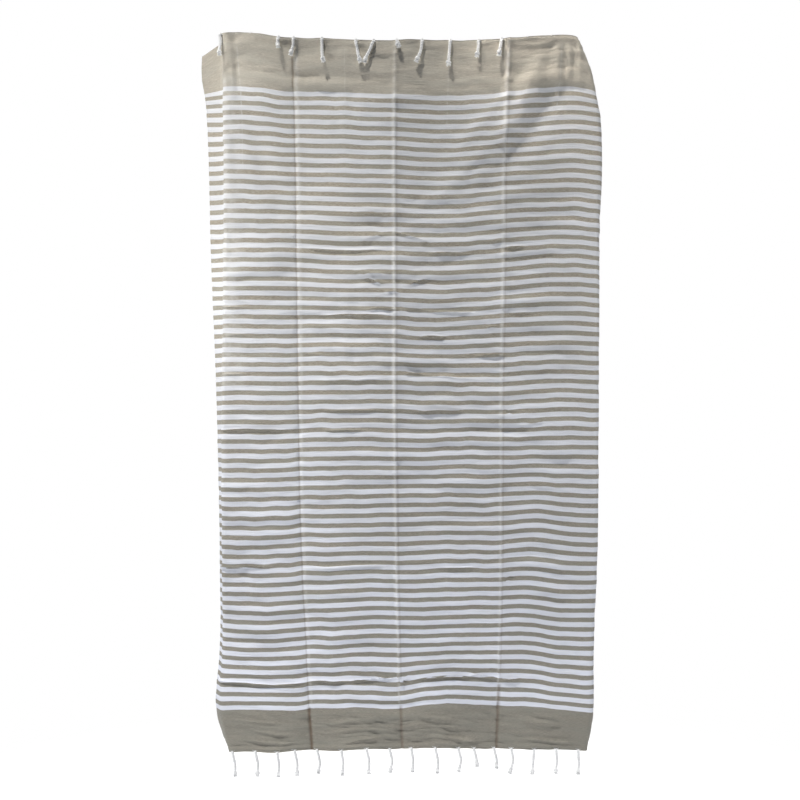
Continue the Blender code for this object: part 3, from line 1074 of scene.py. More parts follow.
@dataclass(frozen=True)
class CottonWeave:
    """Flat-woven cotton in white and beige stripes, with painted light and shade on its bands and
    along its folds.
    """

    weave: Weave = WEAVE
    white: Colour = (0.810, 0.812, 0.815, 1.0)
    white_low: Colour = (0.700, 0.702, 0.715, 1.0)
    # Painted shade: the darker, bluer white that the white turns to at the foot.
    white_foot_shade: Colour = (0.690, 0.725, 0.835, 1.0)
    white_weft: float = 0.55
    white_warp: float = 0.25
    beige_pale: Colour = (0.510, 0.445, 0.345, 1.0)
    beige_deep: Colour = (0.232, 0.188, 0.124, 1.0)
    beige_cool: Colour = (0.330, 0.325, 0.260, 1.0)
    # Painted shade: the darker, greyer beige that the beige turns to at the foot.
    beige_foot_shade: Colour = (0.138, 0.142, 0.131, 1.0)
    # Painted light: the paler beige that the head band turns to.
    beige_head_lit: Colour = (0.700, 0.650, 0.555, 1.0)
    hue_share: float = 0.50
    weft_share: float = 0.30
    slub_share: float = 0.16
    # The share of painted shade that the beige takes at the foot, and the length down the cloth over
    # which it grows.
    foot_shade_share: float = 0.60
    foot_shade_reach: float = 1.75
    # The share of painted light on the head band: none below head_from, all of it above head_full.
    head_light_share: float = 0.34
    head_from: float = 0.140
    head_full: float = 0.110
    warp: Colour = (0.640, 0.625, 0.575, 1.0)
    warp_over: float = 0.34
    warp_under: float = 0.04
    crossing: float = 0.6
    # Painted shade with some real soil, and painted highlight with some real rubbing, along the
    # folds; streaks break up the highlight.
    soil_and_shade: Colour = (0.120, 0.075, 0.045, 1.0)
    rub_and_highlight: Colour = (0.840, 0.830, 0.800, 1.0)
    rub_and_highlight_least: float = 0.25
    tone_low: float = 0.950
    tone_swing: float = 0.10
    roughness: float = 0.93
    sheen: float = 0.12
    sheen_roughness: float = 0.6
    edge_blur: float = 0.0008
    waver: float = 0.0022
    waver_scale: float = 26.0
    waver_detail: float = 3.0
    weft_streaks: Streaks = Streaks(11.0, 900.0, 1.0)
    warp_streaks: Streaks = Streaks(1000.0, 9.0, 9.0)
    flecks: Streaks = Streaks(110.0, 1100.0, 5.0)
    slubs: Streaks = Streaks(16.0, 320.0, 7.0)
    hues: Streaks = Streaks(9.0, 46.0, 14.0)
    crinkles: Streaks = Streaks(38.0, 170.0, 17.0)
    rub_and_highlight_streaks: Streaks = Streaks(60.0, 75.0, 21.0)
    patches: float = 5.0
    patches_start: float = 3.0
    weave_relief: float = 0.00010
    stripe_relief: float = 0.00030
    weft_relief: float = 0.00014
    warp_relief: float = 0.000084
    crinkle_relief: float = 0.00038

    def marks(self, graph: Graph, across: object, down: object, rows: tuple) -> object:
        """A mask of the painted lines of shade or highlight, partly soiling or rubbing, along the
        folds.

        Args:
            graph: The material's nodes.
            across: The place across the cloth.
            down: The place down the cloth.
            rows: The lines.

        Returns:
            The mask's socket.
        """
        total: object = 0.0
        for row in rows:
            away = graph.maths("ABSOLUTE", graph.maths("SUBTRACT", across, row.across))
            line = graph.span(away, row.half_width, 0.0, 0.0, row.strength)
            shown = graph.maths(
                "MULTIPLY",
                graph.span(down, row.top - MARK_FADE, row.top + MARK_FADE),
                graph.span(down, row.foot + MARK_FADE, row.foot - MARK_FADE),
            )
            total = graph.maths("MAXIMUM", total, graph.maths("MULTIPLY", line, shown))
        return total

    def white_share(self, graph: CottonGraph, down: object) -> object:
        """A mask that is 1 on the white stripes and 0 on the beige ones and the bands.

        Args:
            graph: The material's nodes.
            down: The place down the cloth.

        Returns:
            The mask's socket.
        """
        noise = graph.speckle(graph.on_cloth, self.waver_scale, self.waver_detail)
        waver = graph.maths("MULTIPLY_ADD", noise, self.waver, -self.waver / 2)
        steady = graph.maths("ADD", down, waver)
        weave = self.weave
        blur = self.edge_blur
        half = weave.white_stripe / 2
        field_end = weave.head_band + weave.striped
        past = graph.maths("SUBTRACT", steady, weave.head_band + half)
        away = graph.maths("ABSOLUTE", graph.maths("WRAP", past, weave.pitch / 2, -weave.pitch / 2))
        stripe = graph.span(away, half + blur, half - blur)
        top = graph.span(steady, weave.head_band - blur, weave.head_band + blur)
        foot = graph.span(steady, field_end + blur, field_end - blur)
        return graph.maths("MULTIPLY", stripe, graph.maths("MULTIPLY", top, foot))

    def thread_crossings(self, graph: Graph, across: object, down: object) -> object:
        """The over and under of the threads, 1 where the weft is up and -1 where the warp is.

        Args:
            graph: The material's nodes.
            across: The place across the cloth.
            down: The place down the cloth.

        Returns:
            The socket.
        """
        turn = math.pi / self.weave.thread
        waves = [graph.maths("SINE", graph.maths("MULTIPLY", at, turn)) for at in (across, down)]
        return graph.maths("MULTIPLY", *waves)

    def beige(
        self, graph: CottonGraph, down: object, over: object, lower: object, weft: object
    ) -> object:
        """The colour of the beige yarn, paler at the head by painted light and darker and greyer
        towards the foot by painted shade.

        Args:
            graph: The material's nodes.
            down: The place down the cloth.
            over: The over and under of the threads.
            lower: How near the foot it is, the share of painted shade there.
            weft: The streaks along the weft.

        Returns:
            The colour's socket.
        """
        colour = graph.blend(graph.streaks(self.flecks), self.beige_pale, self.beige_deep)
        colour = graph.tint(colour, self.beige_cool, graph.streaks(self.hues), self.hue_share)
        colour = graph.tint(colour, self.beige_deep, weft, self.weft_share)
        colour = graph.tint(colour, self.beige_pale, graph.streaks(self.slubs), self.slub_share)
        weft_up = graph.span(over, -self.crossing, self.crossing)
        warp_shows = graph.span(weft_up, 0.0, 1.0, self.warp_over, self.warp_under)
        colour = graph.blend(warp_shows, colour, self.warp)
        # Painted shade: the beige darkens and greys towards the foot.
        colour = graph.tint(colour, self.beige_foot_shade, lower, self.foot_shade_share)
        # Painted light: the head band turns paler.
        head_light = graph.span(down, self.head_from, self.head_full, 0.0, self.head_light_share)
        return graph.blend(head_light, colour, self.beige_head_lit)

    def with_fold_light_and_soil(self, graph: CottonGraph, across: object, down: object, colour: object) -> object:
        """Paints highlight and shade onto a colour along the folds, with some real rubbing and
        soiling.

        Args:
            graph: The material's nodes.
            across: The place across the cloth.
            down: The place down the cloth.
            colour: The clean colour.

        Returns:
            The socket of the colour with its painted highlight and shade.
        """
        # Painted highlight on the ridges and lit sides of the folds, broken up by streaks, then
        # painted shade in the hollows and on the shaded sides.
        rub_and_highlight_mask = self.marks(graph, across, down, HIGHLIGHT_AND_RUB_LINES)
        rub_and_highlight_breakup = graph.streaks(self.rub_and_highlight_streaks)
        least = self.rub_and_highlight_least
        rub_and_highlight_mask = graph.maths("MULTIPLY", rub_and_highlight_mask, graph.maths("MULTIPLY_ADD", rub_and_highlight_breakup, 1 - least, least))
        colour = graph.blend(rub_and_highlight_mask, colour, self.rub_and_highlight)
        return graph.blend(self.marks(graph, across, down, SHADE_AND_SOIL_LINES), colour, self.soil_and_shade)

    def material(self, streaks: bpy.types.NodeTree, wear: bpy.types.NodeTree) -> bpy.types.Material:
        """Makes the cloth's material.

        Args:
            streaks: The group for yarn streaks.
            wear: The group for handled patches.

        Returns:
            The material.
        """
        graph = CottonGraph("cotton_weave", streaks, wear)
        split = graph.add("ShaderNodeSeparateXYZ")
        graph.feed(split.inputs[0], graph.on_cloth)
        across, down = split.outputs[0], split.outputs[1]
        white_share = self.white_share(graph, down)
        over = self.thread_crossings(graph, across, down)
        # How near the foot it is: the mask of the painted shade on both white and beige.
        lower = graph.span(down, 0.0, self.foot_shade_reach)
        weft = graph.streaks(self.weft_streaks)
        warp = graph.streaks(self.warp_streaks)
        patch = graph.patches(self.patches, self.patches_start)

        # Painted shade: the white turns darker and bluer towards the foot.
        white = graph.blend(lower, self.white, self.white_foot_shade)
        white = graph.tint(white, self.white_low, weft, self.white_weft)
        white = graph.tint(white, self.white_low, warp, self.white_warp)
        beige = self.beige(graph, down, over, lower, weft)
        colour = graph.blend(white_share, beige, white)
        tone = graph.add("ShaderNodeHueSaturation")
        value = graph.maths("MULTIPLY_ADD", patch, self.tone_swing, self.tone_low)
        graph.feed(tone.inputs["Value"], value)
        graph.feed(tone.inputs["Color"], self.with_fold_light_and_soil(graph, across, down, colour))
        graph.feed(graph.shader.inputs["Base Color"], tone.outputs[0])
        graph.shader.inputs["Sheen Roughness"].default_value = self.sheen_roughness

        height = graph.maths("MULTIPLY", over, self.weave_relief)
        for mask, relief in (
            (white_share, self.stripe_relief),
            (weft, self.weft_relief),
            (warp, self.warp_relief),
            (graph.streaks(self.crinkles), self.crinkle_relief),
        ):
            height = graph.maths("MULTIPLY_ADD", mask, relief, height)
        return graph.finish(patch, self.roughness, self.sheen, height)


@dataclass(frozen=True)
class CottonYarn:
    """Twisted ivory cotton yarn."""

    name: str = "cotton_yarn"
    light: Colour = (0.960, 0.955, 0.930, 1.0)
    shade: Colour = (0.780, 0.770, 0.740, 1.0)
    shade_low: float = 0.3
    shade_swing: float = 0.5
    roughness: float = 0.92
    sheen: float = 0.25
    fibres: Streaks = Streaks(2600.0, 120.0, 2.0)
    patches: float = 60.0
    patches_start: float = 8.0
    fibre_relief: float = 0.00012

    def material(self, streaks: bpy.types.NodeTree, wear: bpy.types.NodeTree) -> bpy.types.Material:
        """Makes the yarn's material.

        Args:
            streaks: The group for yarn streaks.
            wear: The group for handled patches.

        Returns:
            The material.
        """
        graph = CottonGraph(self.name, streaks, wear)
        fibre = graph.streaks(self.fibres)
        patch = graph.patches(self.patches, self.patches_start)
        share = graph.maths("MULTIPLY_ADD", patch, self.shade_swing, self.shade_low)
        share = graph.maths("MULTIPLY", share, fibre)
        graph.feed(graph.shader.inputs["Base Color"], graph.blend(share, self.light, self.shade))
        height = graph.maths("MULTIPLY", fibre, self.fibre_relief)
        return graph.finish(fibre, self.roughness, self.sheen, height)


# ---------------------------------------------------------------------------------------------
# Meshes
# ---------------------------------------------------------------------------------------------


# Ways that no strand and no knot runs in, from which a way across it is found.
STRAND_ASKEW = (0.31, 0.87, 0.38)
KNOT_ASKEW = (0.2, 1.0, 0.1)


def linked(name: str, data: bpy.types.ID) -> bpy.types.Object:
    """Makes an object of some data and shows it in the scene.

    Args:
        name: The object's name.
        data: Its mesh, light or camera.

    Returns:
        The object.
    """
    made = bpy.data.objects.new(name, data)
    bpy.context.scene.collection.objects.link(made)
    return made


def sheet_faces(high: int, wide: int) -> Array:
    """The faces of a thin closed sheet of two equal grids of points, the back's after the front's.

    Args:
        high: How many rows of points a grid has.
        wide: How many columns it has.

    Returns:
        The faces of the front, then those of the back, then those round the rim.
    """
    number = np.arange(high * wide).reshape(high, wide)
    corners = (number[:-1, :-1], number[1:, :-1], number[1:, 1:], number[:-1, 1:])
    front = np.stack(corners, -1).reshape(-1, 4)
    back = front[:, ::-1] + high * wide
    rim = np.concatenate([
        number[0, ::-1], number[1:, 0], number[-1, 1:], number[-2:0:-1, -1], number[0, -1:]
    ])
    here, following = rim[:-1], rim[1:]
    around = np.stack([following, following + high * wide, here + high * wide, here], -1)
    return np.concatenate([front, back, around])


class Loft:
    """Gathers the points and faces of one joined mesh, with places on the cloth or the yarn."""

    def __init__(self) -> None:
        """Starts with nothing."""
        self.points: list[Array] = []
        self.faces: list[tuple] = []
        self.places: list[list] = []
        self.materials: list[int] = []
        self.count = 0

    def add(self, points: Array) -> int:
        """Adds points.

        Args:
            points: The points.

        Returns:
            The number of the first of them.
        """
        first = self.count
        self.points.append(np.asarray(points, float))
        self.count += len(points)
        return first

    def face(self, corners: tuple, places: Sequence, material: int = 0) -> None:
        """Adds one face.

        Args:
            corners: The numbers of its points.
            places: A place on the cloth or the yarn for each of them.
            material: The number of its material.
        """
        self.faces.append(corners)
        self.places.append(list(places))
        self.materials.append(material)

    def tube(self, path: Array, radii: Array, sides: int, closed: bool = False) -> None:
        """Adds a round strand along a path.

        Args:
            path: The points along its middle.
            radii: Its radius at each point.
            sides: How many sides it has.
            closed: Whether it joins up with its own start.
        """
        if closed:
            tangents = np.roll(path, -1, 0) - np.roll(path, 1, 0)
        else:
            tangents = np.gradient(path, axis=0)
        tangents /= np.linalg.norm(tangents, axis=1)[:, None]
        side = np.cross(tangents[0], STRAND_ASKEW)
        rings = []
        for point, tangent, radius in zip(path, tangents, radii):
            side = side - tangent * side.dot(tangent)
            side /= np.linalg.norm(side)
            front = np.cross(tangent, side)
            angles = 2 * math.pi * np.arange(sides) / sides
            ring = np.outer(np.cos(angles), side) + np.outer(np.sin(angles), front)
            rings.append(point + ring * radius)
        first = self.add(np.concatenate(rings))
        along = run_along(path)
        lengths = np.append(np.diff(along), along[1])
        count = len(path)
        for ring in range(count if closed else count - 1):
            here = first + ring * sides
            below = first + (ring + 1) % count * sides
            start, end = along[ring], along[ring] + lengths[ring]
            for corner in range(sides):
                following = (corner + 1) % sides
                around = corner * 2 * math.pi * radii[ring] / sides
                beyond = (corner + 1) * 2 * math.pi * radii[ring] / sides
                self.face(
                    (here + corner, here + following, below + following, below + corner),
                    ((around, start), (beyond, start), (beyond, end), (around, end)),
                )
        if not closed:
            spot = (radii[0], 0.0)
            last = first + (count - 1) * sides
            self.face(tuple(first + i for i in reversed(range(sides))), [spot] * sides)
            self.face(tuple(last + i for i in range(sides)), [spot] * sides)

    def mesh_object(self, name: str, materials: Sequence[bpy.types.Material]) -> bpy.types.Object:
        """Makes the joined object.

        Args:
            name: Its name.
            materials: Its materials.

        Returns:
            The object.
        """
        mesh = bpy.data.meshes.new(name)
        mesh.from_pydata(np.concatenate(self.points), [], self.faces)
        for material in materials:
            mesh.materials.append(material)
        mesh.polygons.foreach_set("material_index", self.materials)
        layer = mesh.uv_layers.new(name=CLOTH_MAP)
        layer.data.foreach_set("uv", np.array([p for face in self.places for p in face]).ravel())
        mesh.validate()
        mesh.shade_smooth()
        return linked(name, mesh)


# Where the mesh rows stand closer together: at the tucks, at the folds across and on the bands.
TUCK_ROWS = (.450, .484, .556, .624, .683, .730, .776, .858)
FOLD_ROWS = (.901, 1.212, 1.485)
FINE_ROWS = (
    *(Spot(at, .012, 1.6) for at in TUCK_ROWS),
    *(Spot(at, .012, 2.0) for at in FOLD_ROWS),
    Spot(.380, .030, .6),
    Spot(.030, .050, .4),
    Spot(1.610, .060, .9),
)

# The flat map: its scale and margin, how far along the back lies, and the strip of the rim, with
# its start, its length, its level, the height of its faces and the width of one.
FLAT_SCALE = 0.478
FLAT_MARGIN = 0.004
FLAT_BACK = 0.5
RIM_START = 0.003
RIM_LENGTH = 0.99
RIM_LEVEL = 0.90
RIM_HEIGHT = 0.01
RIM_FACE = 0.0008


@dataclass
class Towel:
    """The woven sheet, as a thin closed skin on the hanging cloth's shape.

    The mesh columns stand closer at the creases, at the turned margins and, down to held_to, at
    the held corners: crease_columns and turn_columns are a Spot's half width and extra, and each
    of held_columns is its place and half width.
    """

    cloth: HungCloth
    weave: Weave = WEAVE
    rows: int = 400
    columns: int = 123
    thickness: float = 0.0010
    selvedge: float = 0.0018
    selvedge_width: float = 0.004
    sharp_from: float = 60.0
    crease_columns: tuple = (.008, 3.6)
    turn_columns: tuple = (.016, 1.9)
    held_columns: tuple = ((-.385, .022), (.400, .032))
    held_extra: float = 1.5
    held_to: float = 0.15
    held_fade: float = 0.08
    name: str = "towel_cloth"

    def across(self, down: float) -> Array:
        """Where the mesh columns lie at one level, closer at the folds as these wander.

        Args:
            down: The level.

        Returns:
            Their places across the cloth.
        """
        spots = []
        for fold in self.cloth.drape.folds:
            at = self.cloth.drape.fold_at(fold, down)
            if "crease" in fold.name:
                spots.append(Spot(at, *self.crease_columns))
            elif "turn" in fold.name or "rim" in fold.name:
                spots.append(Spot(at, *self.turn_columns))
        extra = self.held_extra * float(1 - ease((down - self.held_to) / self.held_fade))
        spots += [Spot(*held, extra) for held in self.held_columns]
        return spread(self.weave.left_edge, self.weave.right_edge, self.columns, spots)

    def skins(self) -> tuple[Array, Array, Array, Array]:
        """The points of both faces of the cloth.

        Returns:
            The front's points, the back's points, and each one's place across and down.
        """
        downs = spread(0.0, self.weave.length, self.rows, FINE_ROWS)
        across = np.array([self.across(down) for down in downs])
        middle = np.array([self.cloth.row(down, row) for down, row in zip(downs, across)])
        inward = np.minimum(across - self.weave.left_edge, self.weave.right_edge - across)
        thick = self.thickness + (self.selvedge - self.thickness) * ease(
            1 - 2 * inward / self.selvedge_width
        )
        half = normals(middle) * (thick / 2)[:, :, None]
        down_grid = np.repeat(downs[:, None], across.shape[1], 1)
        return middle + half, middle - half, across, down_grid

    def build(self, material: bpy.types.Material) -> bpy.types.Object:
        """Makes the sheet.

        Args:
            material: The woven cotton.

        Returns:
            The object.
        """
        front, back, across, down = self.skins()
        high, wide = across.shape
        points = np.concatenate([front.reshape(-1, 3), back.reshape(-1, 3)])
        faces = sheet_faces(high, wide)
        mesh = bpy.data.meshes.new(self.name)
        mesh.from_pydata(points, [], faces.tolist())
        mesh.materials.append(material)
        self.add_maps(mesh, faces, across.ravel(), down.ravel(), (high - 1) * (wide - 1))
        mesh.validate()
        mesh.shade_smooth()
        mesh.set_sharp_from_angle(angle=math.radians(self.sharp_from))
        return linked(self.name, mesh)

    def add_maps(
        self, mesh: bpy.types.Mesh, faces: Array, across: Array, down: Array, front: int
    ) -> None:
        """Adds the map of places on the cloth, and a flat one on which no two faces meet.

        Args:
            mesh: The sheet's mesh.
            faces: Its faces, the front's first, then the back's, then the rim's.
            across: The place across of each point of one side.
            down: The place down of each point of one side.
            front: How many faces each side has.
        """
        corner = faces.ravel() % len(across)
        cloth = np.stack([across[corner], down[corner]], 1)
        layer = mesh.uv_layers.new(name=CLOTH_MAP)
        layer.data.foreach_set("uv", cloth.ravel())
        flat = (cloth - (self.weave.left_edge, 0.0)) * FLAT_SCALE + FLAT_MARGIN
        flat[4 * front:8 * front, 0] += FLAT_BACK
        rim = slice(8 * front, None)
        outer = faces.ravel()[rim] >= len(across)
        place = np.arange(outer.size) // 4 / (outer.size / 4 + 1)
        flat[rim, 0] = place * RIM_LENGTH + RIM_START
        flat[rim, 0] += np.tile((0.0, 0.0, RIM_FACE, RIM_FACE), outer.size // 4)
        flat[rim, 1] = RIM_LEVEL + RIM_HEIGHT * outer
        layer = mesh.uv_layers.new(name=BAKE_MAP)
        layer.data.foreach_set("uv", flat.ravel())
        mesh.uv_layers.active = mesh.uv_layers[CLOTH_MAP]


class Side(Enum):
    """Where a tassel hangs, and how far to the front of the cloth that is."""

    FRONT = 1
    BACK = -1
    BELOW = 0


class Tassel(NamedTuple):
    """A tassel's place, its sway to the right at its middle and its tip, and its length."""

    across: float
    middle_sway: float
    tip_sway: float
    length: float
    side: Side = Side.BELOW


FOOT_TASSELS = (
    Tassel(-.451, .007, .007, .064),
    Tassel(-.392, .007, .004, .064),
    Tassel(-.336, .005, .002, .063),
    Tassel(-.293, .007, .005, .065),
    Tassel(-.233, .007, .002, .062),
    Tassel(-.165, .005, .002, .064),
    Tassel(-.097, .007, .005, .064),
    Tassel(-.035, .007, .000, .060),
    Tassel(.025, .005, .002, .062),
    Tassel(.090, .007, .005, .065),
    Tassel(.153, .007, .000, .061),
    Tassel(.196, .007, .009, .049),
    Tassel(.255, .007, .007, .055),
    Tassel(.302, .005, -.005, .064),
    Tassel(.360, -.002, -.005, .065),
    Tassel(.417, .002, -.002, .064),
    Tassel(.475, .002, .000, .064),
)

HEAD_TASSELS = (
    Tassel(-.470, .002, .000, .060, Side.BACK),
    Tassel(-.414, .002, .001, .058, Side.FRONT),
    Tassel(-.345, .002, .004, .060, Side.BACK),
    Tassel(-.278, -.001, .000, .030, Side.FRONT),
    Tassel(-.241, -.003, -.011, .044, Side.FRONT),
    Tassel(-.173, .001, .006, .060, Side.FRONT),
    Tassel(-.093, .006, .014, .057, Side.FRONT),
    Tassel(-.051, -.011, -.022, .056, Side.FRONT),
    Tassel(.003, .002, .007, .020, Side.FRONT),
    Tassel(.061, -.004, -.016, .055, Side.FRONT),
    Tassel(.126, -.002, -.004, .062, Side.FRONT),
    Tassel(.192, -.001, -.005, .043, Side.FRONT),
    Tassel(.245, -.003, -.007, .043, Side.FRONT),
    Tassel(.305, .003, .004, .060, Side.BACK),
    Tassel(.360, -.002, .002, .058, Side.BACK),
    Tassel(.480, .002, .003, .060, Side.BACK),
)


# How a tassel of the head edge leaves it: how far along the cord, and how far off the cloth.
OVER_EDGE = ((0.0, 0.0), (-0.0012, 0.0030), (0.0015, 0.0052))

# Where along its length the middle of a tassel is placed: one that lies on the cloth, below its
# root, and one that hangs free.
LYING_SHARES = (0.16, 0.30, 0.44, 0.58, 0.72, 0.86, 1.0)
FREE_SHARES = (0.0, 0.25, 0.5, 0.75, 1.0)

# The loose ends of a tuft: the radius of one along it, how far each is turned from the last, how
# far that wanders and how their lengths vary, how much shorter the outermost are, how open the
# tuft is where it leaves the knot, and how far and how fast an end curls.
TUFT_RADII = (.0008, .0008, .0008, .0007, .0004)
TUFT_TURN = 2.4
TUFT_WANDER = 0.3
TUFT_LENGTHS = (0.78, 1.05)
TUFT_ROUNDING = 0.15
TUFT_MOUTH = 0.35
TUFT_CURL = 0.0006
TUFT_CURL_TURN = 3.0


@dataclass
class Fringe:
    """A row of twisted, knotted tassels on the last picks of the cloth.

    The two plies of a cord open from plies_at_root of their offset to all of it over
    plies_open_over, and swell by plump, plump_turn radians a metre. The yarns of a root lean
    towards one point of the cord, root_near_free or root_near_lying steps down, and join it
    root_joins_after steps further on.
    """

    name: str
    cloth: HungCloth
    tassels: tuple
    seed: int
    step: float = 0.0012
    fewest_steps: int = 8
    strip_gap: float = 0.0002
    strip_height: float = 0.0046
    strip_thickness: float = 0.0011
    strip_columns: int = 240
    strip_rows: int = 4
    ply_radius: float = 0.00220
    ply_offset: float = 0.00175
    ply_pitch: float = 0.0125
    ply_sides: int = 7
    plies_at_root: float = 0.45
    plies_open_over: float = 0.006
    plump: float = 0.06
    plump_turn: float = 900.0
    knot_length: float = 0.0110
    knot_strand: float = 0.00240
    knot_radius: float = 0.0046
    knot_depth: float = 0.55
    knot_points: int = 60
    knot_steps: int = 3
    tuft_from: float = 0.32
    tuft_length: float = 0.0070
    tuft_radius: float = 0.0060
    tuft_strands: int = 22
    root_yarns: int = 9
    root_spread: float = 0.0065
    root_lift: float = 0.0004
    root_wander: float = 0.00025
    root_radius: float = 0.00045
    root_points: int = 6
    root_near_free: int = 4
    root_near_lying: int = 2
    root_joins_after: int = 3
    loose_sides: int = 5
    head_clearance: float = 0.0062
    knot_clearance: float = 0.0046
    knot_room: float = 0.002
    knot_fade: float = 0.010
    back_clearance: float = 0.0035
    weave: Weave = WEAVE

    def root_down(self, tassel: Tassel) -> float:
        """The level of a tassel's root, in the middle of the strip."""
        middle = self.strip_gap + self.strip_height / 2
        return self.weave.length + middle if tassel.side is Side.BELOW else -middle

    def knot_share(self, above_tip: float) -> float:
        """How much of the knot's clearance a cord has at a height above its tip."""
        clear = self.knot_length + self.tuft_length + self.knot_room
        return min(1.0, max(0.0, 1 - (above_tip - clear) / self.knot_fade))

    def cord_path(self, tassel: Tassel) -> Array:
        """The middle of a tassel from its root to its tip, in even steps.

        Args:
            tassel: The tassel.

        Returns:
            The points.
        """
        root = self.root_down(tassel)
        shares = FREE_SHARES
        lifts = (0.0,) * len(shares)
        if tassel.side is not Side.BELOW:
            runs, edge_lifts = zip(*OVER_EDGE)
            far = self.head_clearance
            if tassel.side is Side.BACK:
                far += self.back_clearance
            at_knot = [self.knot_share(tassel.length * (1 - share)) for share in LYING_SHARES]
            shares = (*(np.array(runs) / tassel.length), *LYING_SHARES)
            lifts = (*edge_lifts, *(far + self.knot_clearance * part for part in at_knot))
        rough = []
        for share, lift in zip(shares, lifts):
            sway = float(through((0, .5, 1), (0, tassel.middle_sway, tassel.tip_sway), share))
            run = share * tassel.length
            if tassel.side is Side.BELOW:
                rough.append(self.cloth.place(tassel.across, root) + (sway, 0.0, -run))
            else:
                off = tassel.side.value * lift
                rough.append(self.cloth.place(tassel.across + sway, root + run, off))
        rough = np.array(rough)
        knots = run_along(rough)
        count = max(self.fewest_steps, round(knots[-1] / self.step))
        return through_rows(knots, rough, np.linspace(0, knots[-1], count + 1))

    def add_cord(self, loft: Loft, path: Array) -> None:
        """Adds the two plies of a cord, twisted round each other.

        Args:
            loft: The fringe's mesh.
            path: The cord's middle.
        """
        sides, fronts = frames_along(path)
        along = run_along(path)
        opened = np.minimum(1.0, self.plies_at_root + along / self.plies_open_over)
        for ply in range(2):
            angle = 2 * math.pi * along / self.ply_pitch + math.pi * ply
            ring = sides * np.cos(angle)[:, None] + fronts * np.sin(angle)[:, None]
            middle = path + ring * (self.ply_offset * opened)[:, None]
            plump = 1 + self.plump * np.sin(along * self.plump_turn + 2 * ply)
            loft.tube(middle, self.ply_radius * plump, self.ply_sides)

    def add_knot(self, loft: Loft, centre: Array, axis: Array, side: Array, turn: float) -> None:
        """Adds an overhand knot.

        Args:
            loft: The fringe's mesh.
            centre: The knot's middle.
            axis: The way that the cord runs through it.
            side: Any way across that.
            turn: How far the knot is turned about the cord.
        """
        front = np.cross(axis, side)
        across = side * math.cos(turn) + front * math.sin(turn)
        aside = np.cross(axis, across)
        t = np.linspace(0, 2 * math.pi, self.knot_points, endpoint=False)
        long = self.knot_length / 2 - self.knot_strand
        wide = self.knot_radius
        a = (np.sin(t) + 2 * np.sin(2 * t)) / 3 * wide
        b = (np.cos(t) - 2 * np.cos(2 * t)) / 3 * long
        c = -np.sin(3 * t) * wide * self.knot_depth
        path = centre + np.outer(a, across) + np.outer(b, axis) + np.outer(c, aside)
        loft.tube(path, np.full(len(t), self.knot_strand), self.ply_sides, closed=True)

    def add_tuft(
        self, loft: Loft, start: Array, axis: Array, side: Array, source: np.random.Generator
    ) -> None:
        """Adds the loose cut ends below a knot.

        Args:
            loft: The fringe's mesh.
            start: Where they leave the knot.
            axis: The way that they hang.
            side: Any way across that.
            source: The random numbers for their spread.
        """
        front = np.cross(axis, side)
        u = np.linspace(0, 1, len(TUFT_RADII))
        opening = TUFT_MOUTH + (1 - TUFT_MOUTH) * np.sin(u * math.pi / 2)
        for strand in range(self.tuft_strands):
            angle = TUFT_TURN * strand + source.uniform(-TUFT_WANDER, TUFT_WANDER)
            reach = math.sqrt((strand + 0.5) / self.tuft_strands)
            out = side * math.cos(angle) + front * math.sin(angle)
            long = self.tuft_length * source.uniform(*TUFT_LENGTHS) * (1 - TUFT_ROUNDING * reach)
            curl = TUFT_CURL * np.sin(u * TUFT_CURL_TURN + angle)
            aside = reach * self.tuft_radius * opening + curl
            path = start + np.outer(u * long, axis) + np.outer(aside, out)
            loft.tube(path, np.array(TUFT_RADII), self.loose_sides)

    def add_root(
        self, loft: Loft, tassel: Tassel, path: Array, source: np.random.Generator
    ) -> None:
        """Adds the warp yarns that gather from the cloth's edge into a cord.

        Args:
            loft: The fringe's mesh.
            tassel: The tassel.
            path: The cord's middle.
            source: The random numbers for the yarns.
        """
        below = tassel.side is Side.BELOW
        edge = self.weave.length if below else 0.0
        first = self.root_near_free if below else self.root_near_lying
        steps = (first, first + self.root_joins_after)
        near, meet = (path[min(step, len(path) - 1)] for step in steps)
        u = np.linspace(0, 1, self.root_points)[:, None]
        for yarn in range(self.root_yarns):
            spot = (yarn / (self.root_yarns - 1) * 2 - 1) * self.root_spread
            start = self.cloth.place(tassel.across + spot, edge, self.root_lift * (-1) ** yarn)
            lean = start * (1 - u) ** 2 + near * 2 * u * (1 - u) + meet * u**2
            lean = lean + source.normal(size=3) * self.root_wander * u * (1 - u) * 4
            loft.tube(lean, np.full(self.root_points, self.root_radius), self.loose_sides)

    def add_strip(self, loft: Loft) -> None:
        """Adds the last picks beyond the cloth's edge as a thin closed strip.

        Args:
            loft: The fringe's mesh.
        """
        near = self.strip_gap
        far = near + self.strip_height
        downs = np.linspace(-far, -near, self.strip_rows)
        if self.tassels[0].side is Side.BELOW:
            downs = self.weave.length + np.linspace(near, far, self.strip_rows)
        across = spread(self.weave.left_edge, self.weave.right_edge, self.strip_columns, [])
        middle = np.array([self.cloth.row(down, across) for down in downs])
        half = normals(middle) * self.strip_thickness / 2
        skins = np.concatenate([middle + half, middle - half])
        first = loft.add(skins.reshape(-1, 3))
        places = [(float(at), float(down)) for down in downs for at in across]
        for face in sheet_faces(*middle.shape[:2]).tolist():
            loft.face(tuple(first + n for n in face), [places[n % len(places)] for n in face], 1)

